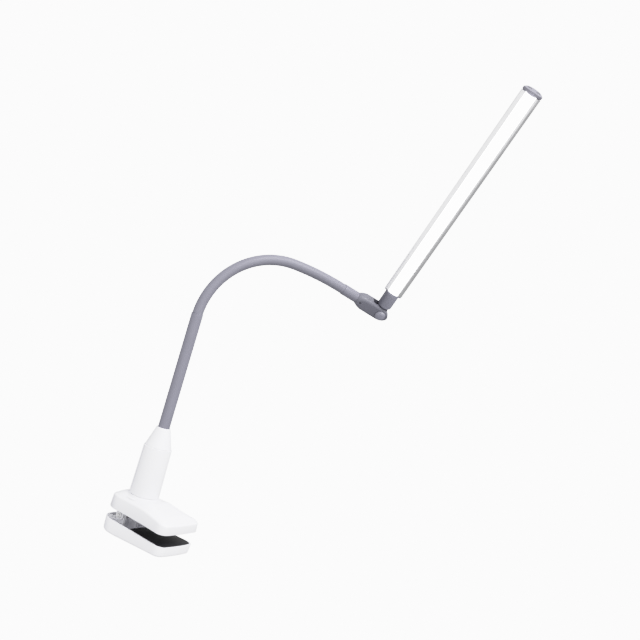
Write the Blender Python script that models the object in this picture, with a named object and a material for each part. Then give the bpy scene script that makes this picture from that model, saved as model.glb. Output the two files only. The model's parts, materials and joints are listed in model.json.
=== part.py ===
"""Clip-on reading lamp: a spring clamp, a neck with a rechargeable cell, a gooseneck arm and a slim LED bar.

Frame: origin at the centre of the upper pad's lower face, +Z up along the neck, +X out of the clamp's mouth.
"""

import math

import bmesh
import bpy
from mathutils import Matrix, Vector

MM = 0.001
GAP = 0.3 * MM
THROUGH = 1.0 * MM

# Clamp jaws, seen from above: a rounded back, straight flanks that splay forward, a blunt front.
RIM_Z = 0.5 * MM
UPPER_FORM = {
    "back": -57.0 * MM, "front": 22.8 * MM, "back_half": 20.8 * MM, "front_half": 27.2 * MM,
    "back_height": 11.6 * MM, "deck": 12.8 * MM, "lip": 8.8 * MM, "slope_start": -10.0 * MM,
    "crown": 4.4 * MM,
}
LOWER_FORM = {
    "back": -58.0 * MM, "front": 23.4 * MM, "back_half": 20.6 * MM, "front_half": 24.2 * MM,
    "back_height": 11.2 * MM, "deck": 12.9 * MM, "lip": 9.2 * MM, "slope_start": -36.0 * MM,
    "crown": 0.9 * MM,
}
FRONT_CORNER = 8.0 * MM
BACK_CORNER = 17.0 * MM
FRONT_BOW = 0.7 * MM
BACK_BOW = 0.4 * MM
BACK_REACH = 14.0 * MM
FLARE_POWER = 1.6
SLOPE_POWER = 1.15
JAW_DRAFT = 0.5 * MM
JAW_WALL = 1.7 * MM
JAW_FILLET = 1.9 * MM
FILLET_TURNS = (30, 60, 90)
LEAST_CORNER = 1.5 * MM
LIP_RISE_LOSS = 0.8
INNER_DRAFT = 0.5 * MM
INNER_CHAMFER = 1.6 * MM
INNER_CHAMFER_DROP = 1.2 * MM
CROWN_RINGS = ((5.0 * MM, 0.5), (9.0 * MM, 0.85), (12.5 * MM, 1.0))
POST_X = -50.0 * MM
POST_Y = 9.6 * MM
POST_RADIUS = 5.2 * MM
POST_CORE = 1.4 * MM
POST_CORE_DEPTH = 7.0 * MM
POST_TOP = 0.5 * MM
SKIN_EMBED = 1.4 * MM
SEAT_LOW = 13.0 * MM
SEAT_HIGH = 18.0 * MM
SEAT_STEP = 3.0 * MM
SEAT_SHOULDER = 0.8 * MM
SEAT_FLARE = 0.4 * MM
MOUTH_GAP = 10.2 * MM
LOWER_TILT = math.radians(1.2)

# Rubber pads and the ribs that carry them.
PAD_BACK = -20.0 * MM
PAD_INSET = 2.1 * MM
PAD_THICK = 2.6 * MM
PAD_PROUD = RIM_Z
RIB_THICK = 1.8 * MM
PAD_BACK_CLEARANCE = 2.0 * MM
PAD_BACK_PULL = 0.9 * MM
RIB_INSET = 4.6 * MM
RIB_EMBED = 0.9 * MM
RIB_CROWN_SHARE = 0.42
RIB_PLACES = (PAD_BACK + 1.5 * MM, -2.0 * MM)
RIB_LOOK_BACK = 8.0 * MM
RIB_LOOK_AHEAD = 12.0 * MM
LONG_RIB_FRONT = 8.0 * MM
LONG_RIB_EMBED = 1.0 * MM

# Clamp hinge.
PIN_X = -40.0 * MM
PIN_Z = RIM_Z - MOUTH_GAP / 2
PIN_RADIUS = 1.5 * MM
PIN_CLEARANCE = 0.15 * MM
EAR_THICK = 2.4 * MM
LOWER_EAR_Y = 8.8 * MM
UPPER_EAR_Y = LOWER_EAR_Y + EAR_THICK + GAP
EAR_RADIUS = 4.2 * MM
EAR_FOOT = 1.5 * MM
UPPER_EAR_TOP = 15.1 * MM
LOWER_EAR_EMBED = 0.45 * MM
PIN_OVERHANG = 1.4 * MM
PIN_HEAD_RADIUS = 2.6 * MM
PIN_HEAD_TOP_RADIUS = 2.4 * MM
PIN_HEAD_THICK = 1.1 * MM
PIN_BORE_REACH = 20.0 * MM
CLIP_RADIUS = 3.0 * MM
CLIP_OFFSET = 1.0 * MM
CLIP_THICK = 0.7 * MM
SPRING_UPPER_LEG = math.radians(150)
SPRING_LOWER_LEG = math.radians(210)
SPRING_PITCH_GAP = 0.12 * MM
SPRING_STEPS = 10
SPRING_LEG_STEPS = 4
SPRING_TURNS = 5
SPRING_WIRE = 0.7 * MM
SPRING_RADIUS = 3.1 * MM
SPRING_LEG = 7.0 * MM

# Neck: a slightly tapered cylinder with a cone on top.
NECK_X = -30.0 * MM
NECK_SEAT = RIM_Z + SEAT_HIGH
NECK_TOP = RIM_Z + 64.6 * MM
NECK_FOOT_RADIUS = 14.05 * MM
NECK_TOP_RADIUS = 13.2 * MM
NECK_WALL = 1.9 * MM
NECK_SCREW_CIRCLE = 10.2 * MM
NECK_SCREW_RADIUS = 1.1 * MM
NECK_SCREW_START = math.radians(60)
NECK_SCREW_HEAD = 1.4 * MM
NECK_SCREW_HEAD_RADIUS = 2.0 * MM
NECK_SCREW_SEAT = RIM_Z + 12.4 * MM
NECK_SCREW_REACH = 4.0 * MM
NECK_SCREW_HOLE_LOW = 8.0 * MM
NECK_EDGE = 0.5 * MM
NECK_TOP_EDGE = 0.6 * MM
BOSS_RADIUS = 2.3 * MM
BOSS_LOW = 0.2 * MM
BOSS_HIGH = 5.5 * MM
BOSS_HOLE = 4.5 * MM
BOSS_SLACK = 0.15 * MM
CONE_TOP = RIM_Z + 83.4 * MM
CONE_FOOT_RADIUS = 12.5 * MM
CONE_TOP_RADIUS = 6.3 * MM
CONE_WEB = RIM_Z + 76.0 * MM
CONE_WEB_RADIUS = 7.6 * MM
CONE_WALL = 1.6 * MM
CONE_SPIGOT = 4.5 * MM
CONE_SHOULDER = 1.0 * MM
CONE_FOOT_EDGE = 0.6 * MM
CONE_RIM = 0.5 * MM
CONE_RIM_DROP = 1.0 * MM

# Inside the neck.
CELL_RADIUS = 9.0 * MM
CELL_LENGTH = 35.0 * MM
CELL_SHIFT = 1.8 * MM
CELL_LIFT = 6.2 * MM
CELL_EDGE = 0.4 * MM
CELL_NUB = 1.2 * MM
CELL_NUB_RADIUS = 3.0 * MM
BOARD_X = -10.2 * MM
BOARD_THICK = 1.0 * MM
BOARD_HALF_WIDTH = 4.9 * MM
BOARD_OVER_BUTTON = 5.0 * MM
SOCKET_Z = RIM_Z + 28.0 * MM
SOCKET_FRONT = -13.7 * MM
SOCKET_HALF_WIDTH = 4.5 * MM
SOCKET_HALF_HEIGHT = 1.6 * MM
SOCKET_SKIN = 0.4 * MM
SOCKET_FLOOR = 0.6 * MM
SOCKET_TONGUE_HALF_WIDTH = 3.2 * MM
SOCKET_TONGUE_HALF_HEIGHT = 0.35 * MM
SOCKET_TONGUE_SETBACK = 0.8 * MM
SOCKET_MOUTH = 0.4 * MM
NECK_OUTSIDE = -20.0 * MM
SOCKET_MOUTH_DEPTH = -11.0 * MM
BUTTON_HOLE_DEPTH = -10.8 * MM
BUTTON_Z = RIM_Z + 45.0 * MM
BUTTON_RADIUS = 3.4 * MM
BUTTON_INNER = 12.6 * MM
BUTTON_OUTER = 14.4 * MM
BUTTON_EDGE = ((0.0, 0.5 * MM), (0.6 * MM, 0.1 * MM), (1.6 * MM, 0.0))
SWITCH_RADIUS = 2.3 * MM
SWITCH_THICK = 1.0 * MM
PLUNGER_RADIUS = 1.3 * MM
PLUNGER_REACH = 1.5 * MM

# Arm: a rigid stem, a flexible gooseneck of two arcs, and a straight end that carries the clevis.
STEM_RADIUS = 5.45 * MM
STEM_BORE = 3.9 * MM
STEM_FOOT = RIM_Z + 63.0 * MM
STEM_TOP = RIM_Z + 193.6 * MM
STEM_SLACK = 0.15 * MM
STEM_WASHER_RADIUS = 7.1 * MM
STEM_WASHER_THICK = 0.8 * MM
STEM_NUT_RADIUS = 7.3 * MM
STEM_NUT_THICK = 4.0 * MM
ARC_START = RIM_Z + 190.8 * MM
ARM_HEADING = math.radians(51.9)
FIRST_ARC_RADIUS = 71.9 * MM
FIRST_ARC = math.radians(94.2)
SECOND_ARC_RADIUS = 300.0 * MM
SECOND_ARC = math.radians(9.65)
STRAIGHT_TO_SLEEVE = 5.0 * MM
GOOSE_RADIUS = 5.0 * MM
GOOSE_SIDES = 16
HINGE_COUNT = 8
BALL_RADIUS = 4.7 * MM
CUP_RADIUS = 5.15 * MM
CUP_SHARES = (0.06, 0.4, 0.72, 1.0)
CUP_TO_BODY = 2.5 * MM
BODY_TO_BALL = 3.0 * MM
BODY_STEP = 4.5 * MM
BALL_TURNS = (0, 30, 60, 84)

# Clevis, seen along the pivot pin; distances run along the arm from the pivot.
SLEEVE_TO_PIVOT = 45.2 * MM
SLEEVE_RADIUS = 5.4 * MM
SLEEVE_BORE = 3.2 * MM
SLEEVE_TENON = 4.2 * MM
SLEEVE_TENON_LENGTH = 8.0 * MM
CLEVIS_FOOT = 28.7 * MM
CLEVIS_SHOULDER = 20.0 * MM
CLEVIS_HALF_HEIGHT = 7.3 * MM
CLEVIS_END = 8.3 * MM
CLEVIS_HALF_THICK = 6.6 * MM
CLEVIS_ROLL = math.radians(35.2)
CLEVIS_CORNERS = (6.0 * MM, 4.6 * MM, 2.6 * MM, 2.0 * MM)
CLEVIS_SWELL = 5.0 * MM
CLEVIS_SWELL_SHARES = (0.9, 0.93)
CLEVIS_END_TURNS = (22, 44, 66, 84)
CLEVIS_MORTISE = 4.5 * MM
CLEVIS_MORTISE_DEPTH = 8.4 * MM
CLEVIS_RECESS = 3.4 * MM
CLEVIS_RECESS_DEPTH = 1.4 * MM
CLEVIS_REACH = 12.0 * MM
SET_SCREW_X = -CLEVIS_SHOULDER - 4.5 * MM
SET_SCREW_RADIUS = 0.95 * MM
SET_SCREW_HOLE = 1.15 * MM
SET_SCREW_LOW = 4.0 * MM
SET_SCREW_SEAT = 4.5 * MM
SET_SCREW_TOP = 5.7 * MM
SLOT_HALF = 3.2 * MM
SLOT_DEPTH = 13.0 * MM
TONGUE_HALF = 2.3 * MM
TONGUE_RADIUS = 5.4 * MM
SPIGOT_RADIUS = 3.0 * MM
SPIGOT_START = 6.8 * MM
SPIGOT_LENGTH = 6.9 * MM
KNUCKLE_SCREW_HOLE = 1.1 * MM
SWIVEL_SCREW_RADIUS = 0.95 * MM
SWIVEL_HOLE_START = 2.0 * MM
SWIVEL_SCREW_TIP = 2.6 * MM
SWIVEL_SCREW_HEAD = 3.9 * MM
SWIVEL_SCREW_HEAD_THICK = 1.2 * MM
WASHER_THICK = 0.5 * MM
WASHER_RADIUS = 4.8 * MM
WASHER_GAP = 0.2 * MM
PIVOT_RADIUS = 1.5 * MM
PIVOT_SLACK = 0.1 * MM
PIVOT_TAIL = 1.9 * MM
PIVOT_HEAD_RADIUS = 2.9 * MM
PIVOT_HEAD = 1.0 * MM
PIVOT_NUT_RADIUS = 3.0 * MM
PIVOT_NUT = 1.5 * MM
CAP_RADIUS = 5.3 * MM
CAP_GAP = 0.2 * MM
CAP_RIM = 0.5 * MM
CAP_RISE = 1.9 * MM
CAP_TURNS = (25, 50, 72)
CAP_ROOM_RADIUS = 3.2 * MM
CAP_ROOM_DEPTH = 0.7 * MM

# Head: a round barrel that swivels, then the LED bar.
HEAD_TILT = math.radians(99.9)
HEAD_SWIVEL = math.radians(-22.0)
HEAD_OFFSET = -0.45 * MM
BARREL_START = 9.2 * MM
BARREL_RADIUS = 7.1 * MM
BARREL_EDGE = 0.5 * MM
BARREL_BORE = 3.1 * MM
BARREL_BORE_DEPTH = 7.2 * MM
BARREL_WEB = 8.2 * MM
BARREL_WELL = 4.3 * MM
BARREL_SCREW_HOLE = 1.4 * MM
FLANGE_SHARE = 0.97
FLANGE_SHIFT = 0.2 * MM
FLANGE_EMBED = 0.2 * MM
PLUG_SLACK = 0.4 * MM
PLUG_EMBED = 0.5 * MM
BARREL_PLUG = 8.0 * MM
CAP_PLUG = 5.0 * MM
BAR_START = 27.6 * MM
BAR_LENGTH = 236.0 * MM
PLATE_THICK = 1.2 * MM
CAP_THICK = 3.0 * MM
BAR_HALF_WIDTH = 9.4 * MM
BAR_BODY_HALF_WIDTH = 8.7 * MM
BAR_LIP = 2.0 * MM
SHOULDER_FRONT = 3.6 * MM
SHOULDER_STEPS = ((7.1 * MM, 0.25 * MM), (8.55 * MM, 1.0 * MM))
LIP_THICK = 0.8 * MM
LIP_SLOPE = 0.3 * MM
BAR_SPRING = BAR_LIP - LIP_THICK - LIP_SLOPE
BACK_TURNS = (14, 28, 42, 56, 70, 84)
CAVITY_TURNS = (0, 20, 40, 60, 80)
CAVITY_DROP = 1.5 * MM
BAR_BACK = -6.8 * MM
BAR_WALL = 1.3 * MM
LENS_HALF_WIDTH = 5.45 * MM
LENS_CROWN = 6.1 * MM
LENS_WALL = 1.2 * MM
LENS_LEG = 1.4 * MM
LENS_TURNS = (0, 18, 36, 54, 72, 90)
BOARD_BACK = -3.0 * MM
LED_BOARD_THICK = 1.0 * MM
LED_BOARD_HALF_WIDTH = 5.0 * MM
LED_BOARD_START = 9.0 * MM
LED_BOARD_END = 6.0 * MM
CHIP_HALF_WIDTH = 1.4 * MM
CHIP_HALF_LENGTH = 1.75 * MM
CHIP_TOP = 1.7 * MM
CAP_SCREW_X = 4.2 * MM
CAP_SCREW_Y = -1.6 * MM
CAP_SCREW_HOLE = 1.0 * MM
CAP_SCREW_RADIUS = 0.85 * MM
CAP_SCREW_LENGTH = 7.0 * MM
CAP_SCREW_SINK = 1.75 * MM
CAP_SCREW_SINK_DEPTH = 0.9 * MM
CAP_SCREW_HEAD = 1.5 * MM
CAP_SCREW_SEAT = 0.7 * MM
CAP_SCREW_PROUD = 0.1 * MM
LED_COUNT = 18
LED_PITCH = 12.0 * MM

ROUND = 28
SMALL_ROUND = 14


def clear_scene():
    for obj in list(bpy.data.objects):
        bpy.data.objects.remove(obj, do_unlink=True)


def material(name, colour, roughness, metallic=0.0):
    made = bpy.data.materials.new(name)
    made.use_nodes = True
    shader = made.node_tree.nodes["Principled BSDF"]
    shader.inputs["Base Color"].default_value = (*colour, 1.0)
    shader.inputs["Roughness"].default_value = roughness
    shader.inputs["Metallic"].default_value = metallic
    return made


def empty(name, matrix, parent=None):
    made = bpy.data.objects.new(name, None)
    bpy.context.scene.collection.objects.link(made)
    made.parent = parent
    made.matrix_basis = matrix
    return made


def add_object(name, shape, look, matrix=None, parent=None):
    """Turns a bmesh into a named object, shaded smooth up to 35 degrees."""
    bmesh.ops.recalc_face_normals(shape, faces=shape.faces)
    mesh = bpy.data.meshes.new(name)
    shape.to_mesh(mesh)
    shape.free()
    mesh.shade_smooth()
    mesh.set_sharp_from_angle(angle=math.radians(35))
    made = bpy.data.objects.new(name, mesh)
    bpy.context.scene.collection.objects.link(made)
    if look is not None:
        mesh.materials.append(look)
    made.parent = parent
    if matrix is not None:
        made.matrix_basis = matrix
    return made


def boolean(target, shape, operation, matrix=None):
    """Cuts a helper shape from the target or joins it on. The helper shares the target's parent."""
    helper = add_object(f"helper_{target.name}", shape, None, matrix, target.parent)
    helper.hide_render = True
    helper.display_type = "WIRE"
    step = target.modifiers.new(operation.title(), "BOOLEAN")
    step.operation = operation
    step.solver = "EXACT"
    step.object = helper


def cut(target, shape, matrix=None):
    boolean(target, shape, "DIFFERENCE", matrix)


def join(target, shape, matrix=None):
    boolean(target, shape, "UNION", matrix)


def loft(rings, wrap=False):
    """Skins rings of equal count. The ends are capped, or joined to each other when wrap is set."""
    shape = bmesh.new()
    rows = [[shape.verts.new(point) for point in ring] for ring in rings]
    pairs = list(zip(rows, rows[1:]))
    if wrap:
        pairs.append((rows[-1], rows[0]))
    for low, high in pairs:
        for i in range(len(low)):
            j = (i + 1) % len(low)
            shape.faces.new((low[i], low[j], high[j], high[i]))
    if not wrap:
        shape.faces.new(rows[0][::-1])
        shape.faces.new(rows[-1])
    return shape


def circle(radius, height, sides):
    turns = [2 * math.pi * i / sides for i in range(sides)]
    return [Vector((radius * math.cos(a), radius * math.sin(a), height)) for a in turns]


def turned(profile, sides=ROUND):
    """A solid turned about Z from (radius, height) points, capped at both ends."""
    return loft([circle(radius, height, sides) for radius, height in profile])


def ring_solid(profile, sides=ROUND):
    """A ring turned about Z from a closed loop of (radius, height) points."""
    return loft([circle(radius, height, sides) for radius, height in profile], wrap=True)


def tube(inner, outer, low, high, sides=ROUND):
    return ring_solid([(inner, low), (outer, low), (outer, high), (inner, high)], sides)


def cylinder(radius, low, high, sides=SMALL_ROUND):
    return turned([(radius, low), (radius, high)], sides)


def block(low, high):
    rings = []
    for z in (low[2], high[2]):
        corners = [(low[0], low[1]), (high[0], low[1]), (high[0], high[1]), (low[0], high[1])]
        rings.append([Vector((x, y, z)) for x, y in corners])
    return loft(rings)


def prism(outline, low, high):
    """Extrudes an (x, y) outline along Z."""
    return loft([[Vector((x, y, z)) for x, y in outline] for z in (low, high)])


def arc(centre, radius, start, end, count):
    """Points on an arc, angles in degrees."""
    step = (end - start) / count
    angles = [math.radians(start + step * i) for i in range(count + 1)]
    return [(centre[0] + radius * math.cos(a), centre[1] + radius * math.sin(a)) for a in angles]


def place(x=0.0, y=0.0, z=0.0):
    return Matrix.Translation((x, y, z))


def along_y(x, y, z):
    """A matrix that lays a shape's Z axis along +Y at a point."""
    return place(x, y, z) @ Matrix.Rotation(math.radians(-90), 4, "X")


def along_x(x, y, z, forward=1):
    """A matrix that lays a shape's Z axis along +X, or -X, at a point."""
    return place(x, y, z) @ Matrix.Rotation(math.radians(90 * forward), 4, "Y")


# Clamp


def jaw_half_outline(form, inset):
    """One flank of a jaw from the back's middle to the front's middle, y positive."""
    back = form["back"] + inset
    front = form["front"] - inset
    back_corner = BACK_CORNER - inset
    front_corner = max(FRONT_CORNER - inset, LEAST_CORNER)
    back_y = form["back_half"] - inset
    front_y = form["front_half"] - inset
    back_arc = arc((back + back_corner, back_y - back_corner), back_corner, 180, 90, 6)
    front_arc = arc((front - front_corner, front_y - front_corner), front_corner, 90, 0, 5)
    start = back_arc[-1]
    end = front_arc[0]
    flank = []
    for i in range(1, 8):
        share = i / 8
        x = start[0] + (end[0] - start[0]) * share
        flank.append((x, start[1] + (end[1] - start[1]) * share**FLARE_POWER))
    return [(back - BACK_BOW, 0.0)] + back_arc + flank + front_arc + [(front + FRONT_BOW, 0.0)]


def jaw_outline(form, inset):
    half = jaw_half_outline(form, inset)
    return half + [(x, -y) for x, y in reversed(half[1:-1])]


def jaw_height(form, x):
    """Height of a jaw's skin at its flanks: low at the back, level, then sloping to a thin lip."""
    if x > form["slope_start"]:
        share = (x - form["slope_start"]) / (form["front"] - form["slope_start"])
        return form["deck"] - (form["deck"] - form["lip"]) * share**SLOPE_POWER
    share = max(0.0, (form["back"] + BACK_REACH - x) / BACK_REACH)
    return form["deck"] - (form["deck"] - form["back_height"]) * share**2


def jaw_rise(form, x):
    """Full height of the crown over the flanks: it fades out towards the lip."""
    share = max(0.0, (x - form["slope_start"]) / (form["front"] - form["slope_start"]))
    return form["crown"] * (1 - LIP_RISE_LOSS * min(1.0, share))


def jaw_shape(form):
    """A hollow jaw, open at its rim (z = 0), with its skin above."""

    def ring(inset, drop, rise):
        points = []
        for x, y in jaw_outline(form, inset):
            z = jaw_height(form, x) - drop + jaw_rise(form, x) * rise
            points.append(Vector((x, y, z)))
        return points

    outer = [[Vector((x, y, 0)) for x, y in jaw_outline(form, 0)]]
    outer.append(ring(JAW_DRAFT, JAW_FILLET, 0))
    for angle in FILLET_TURNS:
        turn = math.radians(angle)
        inset = JAW_DRAFT + JAW_FILLET * (1 - math.cos(turn))
        outer.append(ring(inset, JAW_FILLET * (1 - math.sin(turn)), 0))
    inner = [[Vector((x, y, 0)) for x, y in jaw_outline(form, JAW_WALL)]]
    inner.append(ring(JAW_WALL + INNER_DRAFT, JAW_WALL + INNER_CHAMFER_DROP, 0))
    inner.append(ring(JAW_WALL + INNER_CHAMFER, JAW_WALL, 0))
    for inset, rise in CROWN_RINGS:
        outer.append(ring(inset, 0, rise))
        inner.append(ring(inset, JAW_WALL, rise))
    rings = list(reversed(outer)) + inner
    shape = bmesh.new()
    rows = [[shape.verts.new(point) for point in row] for row in rings]
    count = len(rows[0])
    for low, high in zip(rows, rows[1:]):
        for i in range(count):
            j = (i + 1) % count
            shape.faces.new((low[i], low[j], high[j], high[i]))
    half = count // 2
    for row in (rows[0], rows[-1]):
        for i in range(half):
            left = (row[i], row[i + 1])
            right = (row[-i] if i else row[0], row[-i - 1])
            corners = [left[0], left[1], right[1], right[0]]
            corners = [v for k, v in enumerate(corners) if v not in corners[:k]]
            shape.faces.new(corners)
    return shape


def ear_shape(reach_up):
    """A hinge ear in the XZ plane: round about the pin, rising by reach_up into its jaw."""
    half = EAR_RADIUS
    outline = [(-half - EAR_FOOT, reach_up), (half + EAR_FOOT, reach_up)]
    outline += arc((0, 0), half, 0, -180, 10)
    shape = prism(outline, 0, EAR_THICK)
    shape.transform(Matrix.Rotation(math.radians(90), 4, "X"))
    return shape


def pad_outline(form):
    """The pad: the jaw's own outline pulled in, cut square at its back edge."""
    half = [(x, y) for x, y in jaw_half_outline(form, PAD_INSET) if x > PAD_BACK + PAD_BACK_CLEARANCE]
    half = [(PAD_BACK, half[0][1] - PAD_BACK_PULL)] + half
    return half + [(x, -y) for x, y in reversed(half[:-1])]


def add_ribs(jaw, matrix, form):
    """Ribs that carry the pad: two across and one along, from the skin to the pad's back."""
    top = PAD_THICK - PAD_PROUD + GAP
    flank = jaw_half_outline(form, RIB_INSET)
    for x in RIB_PLACES:
        nearby = [y for px, y in flank if x - RIB_LOOK_BACK < px < x + RIB_LOOK_AHEAD]
        across = min(nearby)
        front = x + RIB_THICK
        reach = jaw_height(form, front) + jaw_rise(form, front) * RIB_CROWN_SHARE - RIB_EMBED
        join(jaw, block((x, -across, top), (front, across, reach)), matrix)
    low = (RIB_PLACES[0], -RIB_THICK / 2, top)
    high = (LONG_RIB_FRONT, RIB_THICK / 2, form["lip"] - LONG_RIB_EMBED)
    join(jaw, block(low, high), matrix)


def add_upper_jaw(looks):
    rim = place(z=RIM_Z)
    jaw = add_object("upper_jaw_shell", jaw_shape(UPPER_FORM), looks["white"], rim)
    foot = NECK_FOOT_RADIUS
    seat = turned([(foot - THROUGH, SEAT_LOW), (foot - THROUGH, SEAT_HIGH - SEAT_STEP),
                   (foot + SEAT_FLARE, SEAT_HIGH - SEAT_SHOULDER), (foot, SEAT_HIGH - GAP)])
    join(jaw, seat, place(NECK_X, 0, RIM_Z))
    add_ribs(jaw, rim, UPPER_FORM)
    for y in (UPPER_EAR_Y + EAR_THICK, -UPPER_EAR_Y):
        ear = ear_shape(UPPER_EAR_TOP + RIM_Z - PIN_Z)
        join(jaw, ear, place(PIN_X, y, PIN_Z))
    bore = cylinder(PIN_RADIUS + PIN_CLEARANCE, -PIN_BORE_REACH, PIN_BORE_REACH)
    cut(jaw, bore, along_y(PIN_X, 0, PIN_Z))
    for x, y in neck_screw_places():
        hole = cylinder(NECK_SCREW_RADIUS + GAP, NECK_SCREW_HOLE_LOW, SEAT_HIGH + THROUGH)
        cut(jaw, hole, place(x, y, RIM_Z))
    pad = prism(pad_outline(UPPER_FORM), -PAD_PROUD, PAD_THICK - PAD_PROUD)
    add_object("upper_pad", pad, looks["rubber"], rim)


def lower_jaw_matrix():
    """The lower jaw's rim frame: upside down under the pin, tilted a little open."""
    to_pin = place(PIN_X, 0, PIN_Z)
    turn = Matrix.Rotation(LOWER_TILT, 4, "Y")
    down = place(z=-MOUTH_GAP / 2) @ place(x=-PIN_X) @ Matrix.Diagonal((1, -1, -1, 1))
    return to_pin @ turn @ down


def add_lower_jaw(looks):
    axis = empty("jaw_hinge_axis", place(PIN_X, 0, PIN_Z))
    local = place(PIN_X, 0, PIN_Z).inverted() @ lower_jaw_matrix()
    jaw = add_object("lower_jaw_shell", jaw_shape(LOWER_FORM), looks["white"], local, axis)
    add_ribs(jaw, local, LOWER_FORM)
    for y in (LOWER_EAR_Y + EAR_THICK, -LOWER_EAR_Y):
        ear = ear_shape(LOWER_FORM["deck"] - LOWER_EAR_EMBED + MOUTH_GAP / 2)
        flip = Matrix.Rotation(LOWER_TILT, 4, "Y") @ place(y=y - EAR_THICK)
        join(jaw, ear, flip @ Matrix.Diagonal((1, -1, -1, 1)))
    bore = cylinder(PIN_RADIUS + PIN_CLEARANCE, -PIN_BORE_REACH, PIN_BORE_REACH)
    cut(jaw, bore, along_y(0, 0, 0))
    for y in (POST_Y, -POST_Y):
        post = cylinder(POST_RADIUS, POST_TOP, LOWER_FORM["deck"] - SKIN_EMBED, ROUND)
        join(jaw, post, local @ place(POST_X, y))
        cut(jaw, cylinder(POST_CORE, -THROUGH, POST_CORE_DEPTH), local @ place(POST_X, y))
    pad = prism(pad_outline(LOWER_FORM), -PAD_PROUD, PAD_THICK - PAD_PROUD)
    add_object("lower_pad", pad, looks["rubber"], local, axis)


def sweep(points, radius, sides):
    """A round wire along points, its rings kept square to the path."""
    rings = []
    side = Vector((0, 1, 0))
    for i, point in enumerate(points):
        before = points[max(i - 1, 0)]
        after = points[min(i + 1, len(points) - 1)]
        heading = (after - before).normalized()
        side = (side - heading * side.dot(heading)).normalized()
        other = heading.cross(side)
        ring = []
        for k in range(sides):
            turn = 2 * math.pi * k / sides
            ring.append(point + (side * math.cos(turn) + other * math.sin(turn)) * radius)
        rings.append(ring)
    return loft(rings)


def spring_path():
    """A torsion spring round the pin: a leg to each jaw's back, joined by the coil."""
    pitch = 2 * SPRING_WIRE + SPRING_PITCH_GAP
    turns = SPRING_TURNS + (SPRING_LOWER_LEG - SPRING_UPPER_LEG) / (2 * math.pi)
    steps = int(turns * SPRING_STEPS)
    start = SPRING_UPPER_LEG - math.pi / 2
    coil = []
    for i in range(steps + 1):
        angle = start + turns * 2 * math.pi * i / steps
        y = (i / steps - 0.5) * pitch * turns
        coil.append(Vector((SPRING_RADIUS * math.cos(angle), y, SPRING_RADIUS * math.sin(angle))))
    first = Vector((math.cos(SPRING_UPPER_LEG), 0, math.sin(SPRING_UPPER_LEG))) * SPRING_LEG
    end = start + turns * 2 * math.pi
    last = Vector((-math.sin(end), 0, math.cos(end))) * SPRING_LEG
    count = SPRING_LEG_STEPS
    first_leg = [coil[0] + first * (1 - k / count) for k in range(count)]
    last_leg = [coil[-1] + last * k / count for k in range(1, count + 1)]
    return first_leg + coil + last_leg


def add_clamp_hinge(looks):
    pin_half = UPPER_EAR_Y + EAR_THICK + PIN_OVERHANG
    head = pin_half - PIN_HEAD_THICK
    pin = turned([(PIN_RADIUS, -pin_half), (PIN_RADIUS, head),
                  (PIN_HEAD_RADIUS, head), (PIN_HEAD_TOP_RADIUS, pin_half)], SMALL_ROUND)
    add_object("hinge_pin", pin, looks["steel"], along_y(PIN_X, 0, PIN_Z))
    clip_low = -UPPER_EAR_Y - EAR_THICK - CLIP_OFFSET
    clip = tube(PIN_RADIUS + PIVOT_SLACK, CLIP_RADIUS, clip_low, clip_low + CLIP_THICK, SMALL_ROUND)
    add_object("pin_clip", clip, looks["steel"], along_y(PIN_X, 0, PIN_Z))
    spring = sweep(spring_path(), SPRING_WIRE, 6)
    add_object("jaw_spring", spring, looks["steel"], place(PIN_X, 0, PIN_Z))


# Neck


def neck_screw_places():
    angles = [NECK_SCREW_START + 2 * math.pi * k / 3 for k in range(3)]
    reach = NECK_SCREW_CIRCLE
    return [(NECK_X + reach * math.cos(a), reach * math.sin(a)) for a in angles]


def add_neck(looks):
    foot = NECK_SEAT
    top = NECK_TOP
    wall = NECK_WALL
    profile = [
        (NECK_FOOT_RADIUS - wall, foot),
        (NECK_FOOT_RADIUS - NECK_EDGE, foot),
        (NECK_FOOT_RADIUS, foot + NECK_EDGE),
        (NECK_TOP_RADIUS, top - NECK_TOP_EDGE),
        (NECK_TOP_RADIUS - NECK_EDGE, top),
        (NECK_TOP_RADIUS - wall, top),
    ]
    neck = add_object("neck_housing", ring_solid(profile, 40), looks["white"], place(NECK_X))
    for x, y in neck_screw_places():
        boss = cylinder(BOSS_RADIUS, foot + BOSS_LOW, foot + BOSS_HIGH)
        join(neck, boss, place(x, y))
        hole = cylinder(NECK_SCREW_RADIUS + BOSS_SLACK, foot - THROUGH, foot + BOSS_HOLE)
        cut(neck, hole, place(x, y))
    half_y = SOCKET_HALF_WIDTH + SOCKET_MOUTH
    half_z = SOCKET_HALF_HEIGHT + SOCKET_MOUTH
    low = (NECK_OUTSIDE, -half_y, SOCKET_Z - half_z)
    high = (SOCKET_MOUTH_DEPTH, half_y, SOCKET_Z + half_z)
    cut(neck, block(low, high), place(NECK_X))
    hole = cylinder(BUTTON_RADIUS + GAP, -BUTTON_HOLE_DEPTH, -NECK_OUTSIDE, ROUND)
    cut(neck, hole, along_x(NECK_X, 0, BUTTON_Z, -1))
    for number, (x, y) in enumerate(neck_screw_places(), 1):
        seat = NECK_SCREW_SEAT
        tip = foot + NECK_SCREW_REACH
        screw = turned([(NECK_SCREW_HEAD_RADIUS, seat - NECK_SCREW_HEAD), (NECK_SCREW_HEAD_RADIUS, seat),
                        (NECK_SCREW_RADIUS, seat), (NECK_SCREW_RADIUS, tip)], SMALL_ROUND)
        add_object(f"neck_screw_{number}", screw, looks["steel"], place(x, y))


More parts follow.
